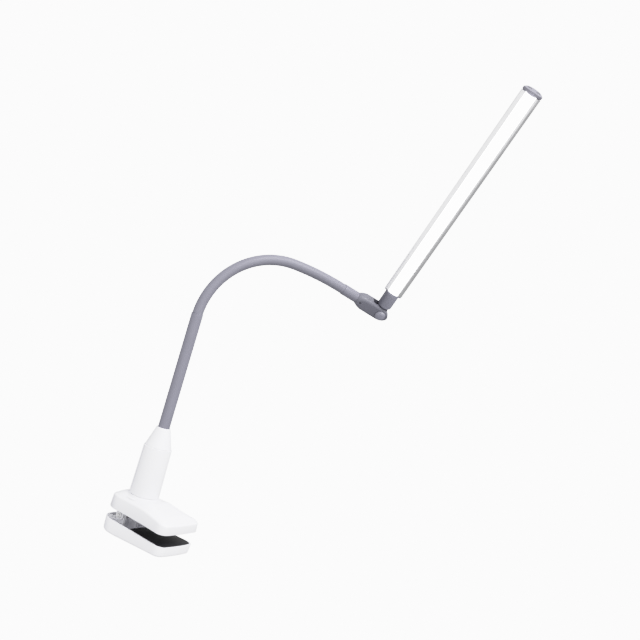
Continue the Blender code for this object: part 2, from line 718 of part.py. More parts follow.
def add_cone(looks):
    foot = NECK_TOP + GAP
    spigot = NECK_TOP_RADIUS - NECK_WALL - GAP
    bore = STEM_RADIUS + GAP
    profile = [
        (bore, CONE_WEB),
        (CONE_WEB_RADIUS, CONE_WEB),
        (spigot - CONE_WALL, foot + CONE_SHOULDER),
        (spigot - CONE_WALL, foot - CONE_SPIGOT),
        (spigot, foot - CONE_SPIGOT),
        (spigot, foot),
        (CONE_FOOT_RADIUS, foot),
        (CONE_FOOT_RADIUS, foot + CONE_FOOT_EDGE),
        (CONE_TOP_RADIUS + CONE_RIM, CONE_TOP - CONE_RIM_DROP),
        (CONE_TOP_RADIUS, CONE_TOP),
        (bore, CONE_TOP),
    ]
    add_object("neck_cone", ring_solid(profile, 40), looks["white"], place(NECK_X))


def add_stem(looks):
    stem = tube(STEM_BORE, STEM_RADIUS, STEM_FOOT, STEM_TOP, 24)
    add_object("stem_sleeve", stem, looks["grey"], place(NECK_X))
    bore = STEM_RADIUS + STEM_SLACK
    washer_top = CONE_WEB - GAP
    washer_low = washer_top - STEM_WASHER_THICK
    washer = tube(bore, STEM_WASHER_RADIUS, washer_low, washer_top, 24)
    add_object("stem_washer", washer, looks["steel"], place(NECK_X))
    nut_top = washer_low - GAP
    nut_low = nut_top - STEM_NUT_THICK
    shape = cylinder(STEM_NUT_RADIUS, nut_low, nut_top, 6)
    nut = add_object("stem_nut", shape, looks["brass"], place(NECK_X))
    cut(nut, cylinder(bore, nut_low - THROUGH, nut_top + THROUGH, 24), place(NECK_X))


def add_neck_inside(looks):
    low = NECK_SEAT + CELL_LIFT
    top = low + CELL_LENGTH
    shoulder = top - CELL_NUB
    inner = CELL_RADIUS - CELL_EDGE
    cell = turned([(inner, low), (CELL_RADIUS, low + CELL_EDGE), (CELL_RADIUS, shoulder - CELL_EDGE),
                   (inner, shoulder), (CELL_NUB_RADIUS, shoulder), (CELL_NUB_RADIUS, top)], 24)
    add_object("battery_cell", cell, looks["cell"], place(NECK_X + CELL_SHIFT))
    corner = (BOARD_X + BOARD_THICK, BOARD_HALF_WIDTH, BUTTON_Z + BOARD_OVER_BUTTON)
    board = block((BOARD_X, -BOARD_HALF_WIDTH, low), corner)
    add_object("charge_board", board, looks["board"], place(NECK_X))
    back = BOARD_X - GAP
    front = SOCKET_FRONT
    half_y = SOCKET_HALF_WIDTH
    half_z = SOCKET_HALF_HEIGHT
    socket = block((front, -half_y, SOCKET_Z - half_z), (back, half_y, SOCKET_Z + half_z))
    made = add_object("charge_socket", socket, looks["steel"], place(NECK_X))
    half_y -= SOCKET_SKIN
    half_z -= SOCKET_SKIN
    hollow = block((front - THROUGH, -half_y, SOCKET_Z - half_z),
                   (back - SOCKET_FLOOR, half_y, SOCKET_Z + half_z))
    cut(made, hollow, place(NECK_X))
    half_y = SOCKET_TONGUE_HALF_WIDTH
    half_z = SOCKET_TONGUE_HALF_HEIGHT
    tongue = block((front + SOCKET_TONGUE_SETBACK, -half_y, SOCKET_Z - half_z),
                   (back - SOCKET_FLOOR / 2, half_y, SOCKET_Z + half_z))
    join(made, tongue, place(NECK_X))
    reach = -back
    body = turned([(SWITCH_RADIUS, reach), (SWITCH_RADIUS, reach + SWITCH_THICK),
                   (PLUNGER_RADIUS, reach + SWITCH_THICK), (PLUNGER_RADIUS, reach + PLUNGER_REACH)], 12)
    add_object("push_switch", body, looks["rubber"], along_x(NECK_X, 0, BUTTON_Z, -1))


def add_button(looks):
    axis = empty("button_axis", along_x(NECK_X, 0, BUTTON_Z, -1))
    edge = [(BUTTON_RADIUS - pull, BUTTON_OUTER - drop) for pull, drop in BUTTON_EDGE]
    button = turned([(BUTTON_RADIUS, BUTTON_INNER)] + edge, ROUND)
    add_object("power_button", button, looks["grey"], parent=axis)


# Arm


def arm_point(distance):
    """Centre and heading of the arm, by distance along it from the start of its bend."""
    turn = 0.0
    across = 0.0
    height = ARC_START
    left = distance
    for radius, angle in ((FIRST_ARC_RADIUS, FIRST_ARC), (SECOND_ARC_RADIUS, SECOND_ARC)):
        step = min(left / radius, angle)
        across += radius * (math.cos(turn) - math.cos(turn + step))
        height += radius * (math.sin(turn + step) - math.sin(turn))
        turn += step
        left -= step * radius
    across += left * math.sin(turn)
    height += left * math.cos(turn)
    outward = Vector((math.cos(ARM_HEADING), math.sin(ARM_HEADING), 0))
    centre = Vector((NECK_X, 0, height)) + outward * across
    heading = outward * math.sin(turn) + Vector((0, 0, math.cos(turn)))
    return centre, heading


def flexible_length():
    return FIRST_ARC_RADIUS * FIRST_ARC + SECOND_ARC_RADIUS * SECOND_ARC + STRAIGHT_TO_SLEEVE


def arm_side():
    """Unit vector square to the arm's plane."""
    return Vector((math.sin(ARM_HEADING), -math.cos(ARM_HEADING), 0))


def arm_frame(distance):
    """Z along the arm, Y square to its plane."""
    centre, heading = arm_point(distance)
    side = arm_side()
    frame = Matrix((side.cross(heading), side, heading)).transposed().to_4x4()
    return place(*centre) @ frame


def hinge_distance(number):
    return flexible_length() * (number - 0.5) / HINGE_COUNT


def frame_ring(frame, radius, height, sides=GOOSE_SIDES):
    return [frame @ point for point in circle(radius, height, sides)]


def segment_shape(number):
    """One gooseneck segment: a cup at its start, a ball at its end, and a curved body between."""
    last = number == HINGE_COUNT + 1
    rings = []
    if number == 1:
        start = STEM_TOP - ARC_START + GAP
        rings.append(frame_ring(arm_frame(start), GOOSE_RADIUS, 0))
    else:
        start = hinge_distance(number - 1)
        cup = arm_frame(start)
        rim = math.asin(GOOSE_RADIUS / CUP_RADIUS)
        for share in CUP_SHARES:
            angle = rim * share
            rings.append(frame_ring(cup, CUP_RADIUS * math.sin(angle), CUP_RADIUS * math.cos(angle)))
        start += CUP_TO_BODY
        rings.append(frame_ring(arm_frame(start), GOOSE_RADIUS, 0))
    end = flexible_length() - GAP if last else hinge_distance(number) - BODY_TO_BALL
    steps = max(1, round((end - start) / BODY_STEP))
    for i in range(1, steps + 1):
        rings.append(frame_ring(arm_frame(start + (end - start) * i / steps), GOOSE_RADIUS, 0))
    if not last:
        ball = arm_frame(hinge_distance(number))
        for angle in BALL_TURNS:
            turn = math.radians(angle)
            rings.append(frame_ring(ball, BALL_RADIUS * math.cos(turn), BALL_RADIUS * math.sin(turn)))
    return loft(rings)


def add_gooseneck(looks):
    for number in range(1, HINGE_COUNT + 2):
        home = arm_frame(hinge_distance(number - 1) if number > 1 else 0.0)
        shape = segment_shape(number)
        shape.transform(home.inverted())
        add_object(f"gooseneck_segment_{number}", shape, looks["grey"], home)


# Clevis


def pivot_frame():
    """Origin on the pivot, Z along the pin, X along the arm."""
    sleeve, heading = arm_point(flexible_length())
    pivot = sleeve + heading * SLEEVE_TO_PIVOT
    side = arm_side()
    lift = heading.cross(side)
    pin = side * math.cos(CLEVIS_ROLL) + lift * math.sin(CLEVIS_ROLL)
    frame = Matrix((heading, pin.cross(heading), pin)).transposed().to_4x4()
    return place(*pivot) @ frame


def rounded_box_ring(x, half_y, half_z, corner):
    """A rounded rectangle square to X."""
    corner = min(corner, half_y, half_z)
    points = []
    for cy, cz, start in ((1, 1, 0), (-1, 1, 90), (-1, -1, 180), (1, -1, 270)):
        centre = (cy * (half_y - corner), cz * (half_z - corner))
        points += [Vector((x, y, z)) for y, z in arc(centre, corner, start, start + 90, 4)]
    return points


def add_clevis(looks):
    frame = empty("clevis_frame", pivot_frame())
    # The sleeve lies on -X, towards the arm.
    to_arm = Matrix.Rotation(math.radians(-90), 4, "Y")
    tenon_end = CLEVIS_FOOT - SLEEVE_TENON_LENGTH
    shoulder = CLEVIS_FOOT + GAP
    sleeve = ring_solid([(SLEEVE_BORE, tenon_end), (SLEEVE_TENON, tenon_end), (SLEEVE_TENON, shoulder),
                         (SLEEVE_RADIUS, shoulder), (SLEEVE_RADIUS, SLEEVE_TO_PIVOT),
                         (SLEEVE_BORE, SLEEVE_TO_PIVOT)], 24)
    add_object("upper_sleeve", sleeve, looks["grey"], to_arm, frame)

    height = CLEVIS_HALF_HEIGHT
    thick = CLEVIS_HALF_THICK
    foot = SLEEVE_RADIUS
    tall, wide = CLEVIS_SWELL_SHARES
    foot_corner, swell_corner, shoulder_corner, cheek_corner = CLEVIS_CORNERS
    rings = [
        rounded_box_ring(-CLEVIS_FOOT, foot, foot, foot_corner),
        rounded_box_ring(-CLEVIS_SHOULDER - CLEVIS_SWELL, height * tall, thick * wide, swell_corner),
        rounded_box_ring(-CLEVIS_SHOULDER, height, thick, shoulder_corner),
        rounded_box_ring(0, height, thick, cheek_corner),
    ]
    for angle in CLEVIS_END_TURNS:
        turn = math.radians(angle)
        corner = cheek_corner * math.cos(turn)
        rings.append(rounded_box_ring(CLEVIS_END * math.sin(turn), height * math.cos(turn), thick, corner))
    housing = add_object("clevis_housing", loft(rings), looks["grey"], parent=frame)
    reach = CLEVIS_REACH
    cut(housing, block((-SLOT_DEPTH, -reach, -SLOT_HALF), (reach, reach, SLOT_HALF)))
    cut(housing, cylinder(PIVOT_RADIUS + GAP, -reach, reach))
    socket = cylinder(CLEVIS_MORTISE, CLEVIS_FOOT - CLEVIS_MORTISE_DEPTH, CLEVIS_FOOT + THROUGH, 20)
    cut(housing, socket, to_arm)
    for side in (1, -1):
        recess = cylinder(CLEVIS_RECESS, thick - CLEVIS_RECESS_DEPTH, thick + THROUGH, 20)
        cut(housing, recess, Matrix.Diagonal((1, side, side, 1)))
    cut(housing, cylinder(SET_SCREW_HOLE, SET_SCREW_LOW, thick + THROUGH), place(SET_SCREW_X))
    screw = cylinder(SET_SCREW_RADIUS, SET_SCREW_SEAT, SET_SCREW_TOP)
    add_object("clevis_set_screw", screw, looks["dark_steel"], place(SET_SCREW_X), frame)

    seat = thick - CLEVIS_RECESS_DEPTH + PIVOT_SLACK
    bolt = turned([(PIVOT_RADIUS, -seat - PIVOT_TAIL), (PIVOT_RADIUS, seat),
                   (PIVOT_HEAD_RADIUS, seat), (PIVOT_HEAD_RADIUS, seat + PIVOT_HEAD)], SMALL_ROUND)
    add_object("pivot_bolt", bolt, looks["steel"], parent=frame)
    shape = cylinder(PIVOT_NUT_RADIUS, -seat - PIVOT_NUT, -seat, 6)
    nut = add_object("pivot_nut", shape, looks["steel"], parent=frame)
    cut(nut, cylinder(PIVOT_RADIUS + PIVOT_SLACK, -seat - PIVOT_NUT - THROUGH, seat))
    for side, name in ((1, "front"), (-1, "back")):
        low = thick + CAP_GAP
        rim = low + CAP_RIM
        dome = [(CAP_RADIUS, low), (CAP_RADIUS, rim)]
        for angle in CAP_TURNS:
            turn = math.radians(angle)
            dome.append((CAP_RADIUS * math.cos(turn), rim + CAP_RISE * math.sin(turn)))
        cap = add_object(f"pivot_cap_{name}", turned(dome, 24), looks["grey"],
                         Matrix.Diagonal((1, side, side, 1)), frame)
        bolt_room = cylinder(CAP_ROOM_RADIUS, low - THROUGH, low + CAP_ROOM_DEPTH, 16)
        cut(cap, bolt_room, Matrix.Diagonal((1, side, side, 1)))
    for number, side in ((1, 1), (2, -1)):
        low = TONGUE_HALF + WASHER_GAP
        washer = tube(PIVOT_RADIUS + WASHER_GAP, WASHER_RADIUS, low, low + WASHER_THICK, 20)
        flip = Matrix.Diagonal((1, side, side, 1))
        add_object(f"friction_washer_{number}", washer, looks["nylon"], flip, frame)
    return frame


# Head


def add_knuckle(looks, tilt):
    """The tongue in the clevis and the spigot that the barrel swivels on. X runs along the bar."""
    shoulder = BARREL_START - GAP
    outline = arc((0, 0), TONGUE_RADIUS, 90, 270, 10)
    outline += [(shoulder, -TONGUE_RADIUS), (shoulder, TONGUE_RADIUS)]
    knuckle = add_object("knuckle", prism(outline, -TONGUE_HALF, TONGUE_HALF), looks["grey"], parent=tilt)
    to_bar = place(y=HEAD_OFFSET) @ Matrix.Rotation(math.radians(90), 4, "Y")
    spigot = cylinder(SPIGOT_RADIUS, SPIGOT_START, BARREL_START + SPIGOT_LENGTH, 24)
    join(knuckle, spigot, to_bar)
    cut(knuckle, cylinder(PIVOT_RADIUS + PIVOT_SLACK, -TONGUE_RADIUS, TONGUE_RADIUS))
    hole_end = BARREL_START + SPIGOT_LENGTH + THROUGH
    cut(knuckle, cylinder(KNUCKLE_SCREW_HOLE, BARREL_START + SWIVEL_HOLE_START, hole_end), to_bar)
    tip = BARREL_START + SWIVEL_SCREW_TIP
    neck = BARREL_START + BARREL_WEB
    seat = neck + WASHER_GAP
    screw = turned([(SWIVEL_SCREW_RADIUS, tip), (SWIVEL_SCREW_RADIUS, neck),
                    (SWIVEL_SCREW_HEAD, seat), (SWIVEL_SCREW_HEAD, seat + SWIVEL_SCREW_HEAD_THICK)], 20)
    add_object("swivel_screw", screw, looks["steel"], to_bar, tilt)


def bar_outline():
    """The bar's outer section, front at +y: shoulders, lips and a round back."""
    body = BAR_BODY_HALF_WIDTH
    half = [(LENS_HALF_WIDTH + GAP, SHOULDER_FRONT)]
    half += [(x, SHOULDER_FRONT - drop) for x, drop in SHOULDER_STEPS]
    half += [(BAR_HALF_WIDTH, BAR_LIP), (BAR_HALF_WIDTH, BAR_LIP - LIP_THICK), (body, BAR_SPRING)]
    depth = BAR_SPRING - BAR_BACK
    for angle in BACK_TURNS:
        turn = math.radians(angle)
        half.append((body * math.cos(turn), BAR_SPRING - depth * math.sin(turn)))
    return half


def cavity_outline(inset):
    """The bar's inner section, pulled in by inset."""
    wide = BAR_BODY_HALF_WIDTH - BAR_WALL - inset
    half = [(wide, SHOULDER_FRONT - CAVITY_DROP - inset)]
    depth = BAR_SPRING - BAR_BACK - BAR_WALL - inset
    for angle in CAVITY_TURNS:
        turn = math.radians(angle)
        half.append((wide * math.cos(turn), BAR_SPRING - depth * math.sin(turn)))
    return half


def mirrored(half):
    return half + [(-x, y) for x, y in reversed(half)]


def lens_outline():
    """The diffuser's section: a crowned strip with two short legs."""
    rise = LENS_CROWN - SHOULDER_FRONT
    foot = SHOULDER_FRONT - LENS_LEG
    inner_half = LENS_HALF_WIDTH - LENS_WALL
    outer = [(LENS_HALF_WIDTH, foot)]
    inner = [(inner_half, foot)]
    for angle in LENS_TURNS:
        turn = math.radians(angle)
        outer.append((LENS_HALF_WIDTH * math.cos(turn), SHOULDER_FRONT + rise * math.sin(turn)))
        inner.append((inner_half * math.cos(turn), SHOULDER_FRONT + (rise - LENS_WALL) * math.sin(turn)))
    left_outer = [(-x, y) for x, y in reversed(outer[:-1])]
    left_inner = [(-x, y) for x, y in inner[:-1]]
    return outer + left_outer + left_inner + inner[::-1]


def add_head(looks, swivel):
    """Z runs along the bar, Y out of its lit face."""
    end = BAR_START + BAR_LENGTH
    plate_low = BAR_START - PLATE_THICK - GAP
    edge = BARREL_EDGE
    shape = turned([(BARREL_RADIUS - edge, BARREL_START), (BARREL_RADIUS, BARREL_START + edge),
                    (BARREL_RADIUS, plate_low + FLANGE_EMBED)], 32)
    barrel = add_object("barrel", shape, looks["grey"], parent=swivel)
    section = [(x * FLANGE_SHARE, (y - FLANGE_SHIFT) * FLANGE_SHARE) for x, y in mirrored(bar_outline())]
    join(barrel, prism(section, plate_low, BAR_START - GAP))
    plug = mirrored(cavity_outline(PLUG_SLACK))
    join(barrel, prism(plug, BAR_START - PLUG_EMBED, BAR_START + BARREL_PLUG))
    bore_end = BARREL_START + BARREL_BORE_DEPTH
    web_end = BARREL_START + BARREL_WEB
    cut(barrel, cylinder(BARREL_BORE, BARREL_START - THROUGH, bore_end, 20))
    cut(barrel, cylinder(BARREL_WELL, web_end, BAR_START + BARREL_PLUG + THROUGH, 20))
    cut(barrel, cylinder(BARREL_SCREW_HOLE, bore_end - GAP, web_end + GAP))

    channel_end = end - CAP_THICK - GAP
    shape = prism(mirrored(bar_outline()), BAR_START, channel_end)
    channel = add_object("head_channel", shape, looks["aluminium"], parent=swivel)
    cut_low = BAR_START - THROUGH
    cut_high = channel_end + THROUGH
    cut(channel, prism(mirrored(cavity_outline(0)), cut_low, cut_high))
    half = LENS_HALF_WIDTH + GAP
    cut(channel, block((-half, 0, cut_low), (half, SHOULDER_FRONT + THROUGH, cut_high)))

    board_low = BAR_START + LED_BOARD_START
    board_high = channel_end - LED_BOARD_END
    board_y = BOARD_BACK
    half = LED_BOARD_HALF_WIDTH
    shape = block((-half, board_y, board_low), (half, board_y + LED_BOARD_THICK, board_high))
    board = add_object("led_board", shape, looks["board_white"], parent=swivel)
    first = (board_low + board_high - LED_PITCH * (LED_COUNT - 1)) / 2
    for number in range(LED_COUNT):
        z = first + LED_PITCH * number
        low = (-CHIP_HALF_WIDTH, board_y + LED_BOARD_THICK / 2, z - CHIP_HALF_LENGTH)
        high = (CHIP_HALF_WIDTH, board_y + CHIP_TOP, z + CHIP_HALF_LENGTH)
        join(board, block(low, high))
    add_object("diffuser", prism(lens_outline(), BAR_START, channel_end), looks["lens"], parent=swivel)

    shape = prism(mirrored(bar_outline()), end - CAP_THICK, end)
    cap = add_object("end_cap", shape, looks["grey"], parent=swivel)
    join(cap, prism(plug, channel_end - CAP_PLUG, end - CAP_THICK + PLUG_EMBED))
    seat = end - CAP_SCREW_SEAT
    tip = end - CAP_SCREW_LENGTH
    for number, x in ((1, CAP_SCREW_X), (2, -CAP_SCREW_X)):
        spot = place(x, CAP_SCREW_Y)
        cut(cap, cylinder(CAP_SCREW_HOLE, tip - THROUGH, end + THROUGH), spot)
        cut(cap, cylinder(CAP_SCREW_SINK, end - CAP_SCREW_SINK_DEPTH, end + THROUGH), spot)
        screw = turned([(CAP_SCREW_RADIUS, tip), (CAP_SCREW_RADIUS, seat), (CAP_SCREW_HEAD, seat),
                        (CAP_SCREW_HEAD, end + CAP_SCREW_PROUD)], SMALL_ROUND)
        add_object(f"end_cap_screw_{number}", screw, looks["dark_steel"], spot, swivel)


def main():
    clear_scene()
    looks = {
        "white": material("white_plastic", (0.87, 0.87, 0.88), 0.38),
        "grey": material("grey_plastic", (0.24, 0.24, 0.28), 0.5),
        "aluminium": material("anodised_aluminium", (0.55, 0.55, 0.58), 0.35, 0.8),
        "rubber": material("black_rubber", (0.03, 0.03, 0.035), 0.8),
        "lens": material("opal_lens", (0.95, 0.95, 0.96), 0.4),
        "steel": material("zinc_steel", (0.6, 0.6, 0.62), 0.3, 1.0),
        "dark_steel": material("dark_steel", (0.15, 0.15, 0.17), 0.4, 1.0),
        "brass": material("brass", (0.7, 0.55, 0.28), 0.35, 1.0),
        "nylon": material("nylon", (0.8, 0.78, 0.72), 0.5),
        "board": material("green_board", (0.03, 0.18, 0.08), 0.4),
        "board_white": material("white_board", (0.85, 0.85, 0.83), 0.4),
        "cell": material("cell_wrap", (0.1, 0.25, 0.5), 0.35),
    }
    add_upper_jaw(looks)
    add_lower_jaw(looks)
    add_clamp_hinge(looks)
    add_neck(looks)
    add_cone(looks)
    add_stem(looks)
    add_neck_inside(looks)
    add_button(looks)
    add_gooseneck(looks)
    clevis = add_clevis(looks)
    tilt = empty("head_tilt_axis", Matrix.Rotation(HEAD_TILT, 4, "Z"), clevis)
    add_knuckle(looks, tilt)
    # The head's own frame: Z along the bar (the tilt frame's X), Y along its lit face's normal.
    to_bar = Matrix(((0, 0, 1), (1, 0, 0), (0, 1, 0))).to_4x4()
    turn = place(y=HEAD_OFFSET) @ Matrix.Rotation(HEAD_SWIVEL, 4, "X") @ to_bar
    swivel = empty("head_swivel_axis", turn, tilt)
    add_head(looks, swivel)


main()
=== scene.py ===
import json
from math import cos, pi, radians, sin

import bmesh
import bpy
from mathutils import Matrix, Vector

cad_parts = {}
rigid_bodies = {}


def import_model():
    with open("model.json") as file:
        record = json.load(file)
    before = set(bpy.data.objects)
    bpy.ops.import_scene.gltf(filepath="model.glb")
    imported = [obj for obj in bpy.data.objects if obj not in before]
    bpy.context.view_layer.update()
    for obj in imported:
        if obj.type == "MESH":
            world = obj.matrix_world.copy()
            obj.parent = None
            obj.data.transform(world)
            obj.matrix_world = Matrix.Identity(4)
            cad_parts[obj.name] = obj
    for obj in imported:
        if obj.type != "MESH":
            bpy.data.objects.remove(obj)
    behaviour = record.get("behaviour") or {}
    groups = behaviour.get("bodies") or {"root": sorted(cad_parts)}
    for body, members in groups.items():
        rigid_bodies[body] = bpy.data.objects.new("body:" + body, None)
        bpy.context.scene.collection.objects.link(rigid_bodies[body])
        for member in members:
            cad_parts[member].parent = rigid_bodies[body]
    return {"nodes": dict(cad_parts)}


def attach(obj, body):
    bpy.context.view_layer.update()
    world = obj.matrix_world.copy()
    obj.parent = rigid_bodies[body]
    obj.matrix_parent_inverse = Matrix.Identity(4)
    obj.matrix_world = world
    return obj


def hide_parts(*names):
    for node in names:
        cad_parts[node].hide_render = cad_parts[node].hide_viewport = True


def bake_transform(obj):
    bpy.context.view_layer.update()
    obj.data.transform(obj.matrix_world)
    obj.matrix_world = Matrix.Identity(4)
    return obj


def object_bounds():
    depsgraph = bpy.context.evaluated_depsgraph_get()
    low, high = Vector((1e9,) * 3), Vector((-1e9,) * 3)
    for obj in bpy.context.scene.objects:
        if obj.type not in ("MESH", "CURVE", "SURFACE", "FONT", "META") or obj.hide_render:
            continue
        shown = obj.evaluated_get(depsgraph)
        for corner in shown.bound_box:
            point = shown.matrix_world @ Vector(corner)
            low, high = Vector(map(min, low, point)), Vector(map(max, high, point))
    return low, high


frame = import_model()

MM = 0.001
GAP = 0.3 * MM
SEAM = 0.12 * MM
cad_low, cad_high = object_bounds()


def in_mm(*points):
    """Points of a profile, given in millimetres."""
    return [(across * MM, along * MM) for across, along in points]


# Sides of round shapes.
FINE_ROUND = 160
ROUND = 96
DOME_ROUND = 80
MEDIUM_ROUND = 64
SMALL_ROUND = 48
PIN_ROUND = 40
HOLE_ROUND = 32
CORE_ROUND = 24

# The most of an edge that a rounded corner takes from it.
MOST_CUT_SHARE = 0.45

# ---------------- sizes, as in the CAD

# Clamp jaws, seen from above: a rounded back, flanks that splay forward, a blunt front.
RIM_Z = 0.5 * MM
UPPER = {
    "back": -57.0 * MM, "front": 22.8 * MM, "back_half": 20.8 * MM, "front_half": 27.2 * MM,
    "back_height": 11.6 * MM, "deck": 12.8 * MM, "lip": 8.8 * MM, "slope_start": -10.0 * MM,
    "crown": 4.4 * MM,
}
LOWER = {
    "back": -58.0 * MM, "front": 23.4 * MM, "back_half": 20.6 * MM, "front_half": 24.2 * MM,
    "back_height": 11.2 * MM, "deck": 12.9 * MM, "lip": 9.2 * MM, "slope_start": -36.0 * MM,
    "crown": 0.9 * MM,
}
FRONT_CORNER = 8.0 * MM
BACK_CORNER = 17.0 * MM
LEAST_CORNER = 1.5 * MM
FRONT_BOW = 0.7 * MM
BACK_BOW = 0.4 * MM
BACK_REACH = 14.0 * MM
FLARE_POWER = 1.6
SLOPE_POWER = 1.15
LIP_RISE_LOSS = 0.8
JAW_DRAFT = 0.5 * MM
JAW_WALL = 1.7 * MM
JAW_FILLET = 1.9 * MM
CROWN_END = 12.5 * MM
RIM_EDGE = 0.35 * MM
RIM_EASE = 0.29
INNER_EDGE = 0.2 * MM
INNER_EDGE_RISE = 0.25 * MM
INNER_DRAFT = 0.5 * MM
INNER_CHAMFER = 1.6 * MM
INNER_CHAMFER_DROP = 1.2 * MM
BACK_CORNER_STEPS = 22
FRONT_CORNER_STEPS = 16
FLANK_STEPS = 20
NOSE_STEPS = 6
ROUNDING_STEPS = 8
MOUTH_GAP = 10.2 * MM
LOWER_TILT = radians(1.2)
POST_X = -50.0 * MM
POST_Y = 9.6 * MM
POST_RADIUS = 5.2 * MM
POST_FACE = 4.0 * MM
POST_TOP = 0.5 * MM
POST_WAIST = 6.0 * MM
POST_EDGE = 0.4 * MM
POST_HOLE = in_mm((1.4, 7.0), (1.4, 0.9), (1.8, 0.5), (1.8, -1.0))
SKIN_EMBED = 1.4 * MM
SEAT_INSET = 1.0 * MM
SEAT_LOW = 13.0 * MM
SEAT_STEP = 14.2 * MM
SEAT_TOP = 17.9 * MM
SEAT_FLARE = 3.4 * MM
SEAT_FLARE_IN = 3.2 * MM
SEAT_LIP = in_mm((0.12, 17.62), (-0.1, 17.7))

# Rubber pads and the ribs that carry them.
PAD_BACK = -20.0 * MM
PAD_INSET = 2.1 * MM
PAD_THICK = 2.6 * MM
PAD_PROUD = RIM_Z
PAD_BACK_CLEARANCE = 2.0 * MM
PAD_BACK_PULL = 0.9 * MM
PAD_CENTRE = 2.0 * MM
PAD_HALF_LENGTH = 21.0 * MM
PAD_HALF_WIDTH = 23.0 * MM
PAD_EDGE = 0.5 * MM
PAD_EDGE_STEPS = ((0.0, 1.0), (0.07, 0.6), (0.3, 0.28), (0.65, 0.06), (1.0, 0.0))
RIB_THICK = 1.8 * MM
RIB_INSET = 4.6 * MM
RIB_EMBED = 0.9 * MM
RIB_CROWN_SHARE = 0.42
RIB_PLACES = (PAD_BACK + 1.5 * MM, -2.0 * MM)
RIB_LOOK_BACK = 8.0 * MM
RIB_LOOK_AHEAD = 12.0 * MM
LONG_RIB_FRONT = 8.0 * MM
LONG_RIB_EMBED = 1.0 * MM

# Clamp hinge.
PIN = Vector((-40.0 * MM, 0, RIM_Z - MOUTH_GAP / 2))
PIN_RADIUS = 1.5 * MM
PIN_TIP_RADIUS = 1.2 * MM
PIN_TIP = 0.3 * MM
PIN_BORE = (1.65 * MM, -20.0 * MM, 20.0 * MM)
PIN_OVERHANG = 1.4 * MM
PIN_HEAD = in_mm((2.4, 1.1), (2.6, 0.9), (2.6, 0.5), (2.3, 0.15), (1.6, 0.0))
EAR_THICK = 2.4 * MM
EAR_RADIUS = 4.2 * MM
EAR_FOOT = 1.5 * MM
EAR_STEPS = 30
LOWER_EAR_Y = 8.8 * MM
UPPER_EAR_Y = LOWER_EAR_Y + EAR_THICK + GAP
UPPER_EAR_TOP = 15.1 * MM
LOWER_EAR_EMBED = 0.45 * MM
CLIP_BORE = 1.6 * MM
CLIP_RADIUS = 3.0 * MM
CLIP_EDGE = 0.15 * MM
CLIP_OFFSET = 1.0 * MM
CLIP_THICK = 0.7 * MM
SPRING_UPPER_LEG = radians(150)
SPRING_START = radians(60)
SPRING_TURNS = 5 + 1 / 6
SPRING_WIRE = 0.7 * MM
SPRING_RADIUS = 3.1 * MM
SPRING_PITCH_GAP = 0.12 * MM
SPRING_LEG = 7.0 * MM
SPRING_STEPS = 40
SPRING_LEG_STEPS = 8
SPRING_SIDES = 14

# Neck: a slightly tapered drum with a cone on top.
NECK_X = -30.0 * MM
NECK_LOW = RIM_Z + 18.0 * MM
NECK_HIGH = RIM_Z + 64.6 * MM
NECK_FOOT = 14.05 * MM
NECK_TOP = 13.2 * MM
NECK_WALL = 1.9 * MM
NECK_EDGE = 0.5 * MM
NECK_EDGE_STEPS = 6
NECK_FOOT_EDGE = in_mm((0.45, 0.0), (0.12, 0.14), (0.0, 0.5))
NECK_SCREW_CIRCLE = 10.2 * MM
NECK_SCREW_START = 60
NECK_SCREW_HOLE = (1.4 * MM, 8.0 * MM, 20.0 * MM)
CONE_TOP = RIM_Z + 83.4 * MM
CONE_WEB = RIM_Z + 76.0 * MM
CONE_FOOT_RADIUS = 12.3 * MM
CONE_FOOT_EDGE = 0.5 * MM
CONE_TOP_RADIUS = 6.3 * MM
CONE_RIM = 0.45 * MM
CONE_RIM_DROP = 0.9 * MM
CONE_BORE = 5.75 * MM
CONE_WEB_RADIUS = 7.6 * MM
CONE_WALL = 1.6 * MM
CONE_SPIGOT = 4.5 * MM
CONE_SHOULDER = 1.0 * MM
CONE_EASE = 0.4 * MM
EASE_STEPS = 5
SOCKET_Z = RIM_Z + 28.0 * MM
SOCKET_BACK = 10.5 * MM
SOCKET_FRONT = 13.7 * MM
SOCKET_HALF_WIDTH = 4.5 * MM
SOCKET_HALF_HEIGHT = 1.6 * MM
SOCKET_FLOOR = 0.6 * MM
SOCKET_WELL_END = 15.0 * MM
SOCKET_SKIN_SHARE = (0.91, 0.75)
SOCKET_TONGUE = Vector((3.2 * MM, 0.35 * MM, 0))
SOCKET_TONGUE_BACK = 10.8 * MM
SOCKET_TONGUE_FRONT = 12.9 * MM
SOCKET_MOUTH = 0.4 * MM
SOCKET_MOUTH_DEPTH = 11.0 * MM
NECK_OUTSIDE = 20.0 * MM
BUTTON_Z = RIM_Z + 45.0 * MM
BUTTON_HOLE = (3.7 * MM, 10.8 * MM, NECK_OUTSIDE)
BUTTON_PROFILE = in_mm((1.0, 14.25), (2.2, 14.3), (3.4, 14.1), (3.4, 12.6))
BUTTON_EASE = 0.5 * MM
BUTTON_EASE_STEPS = 6

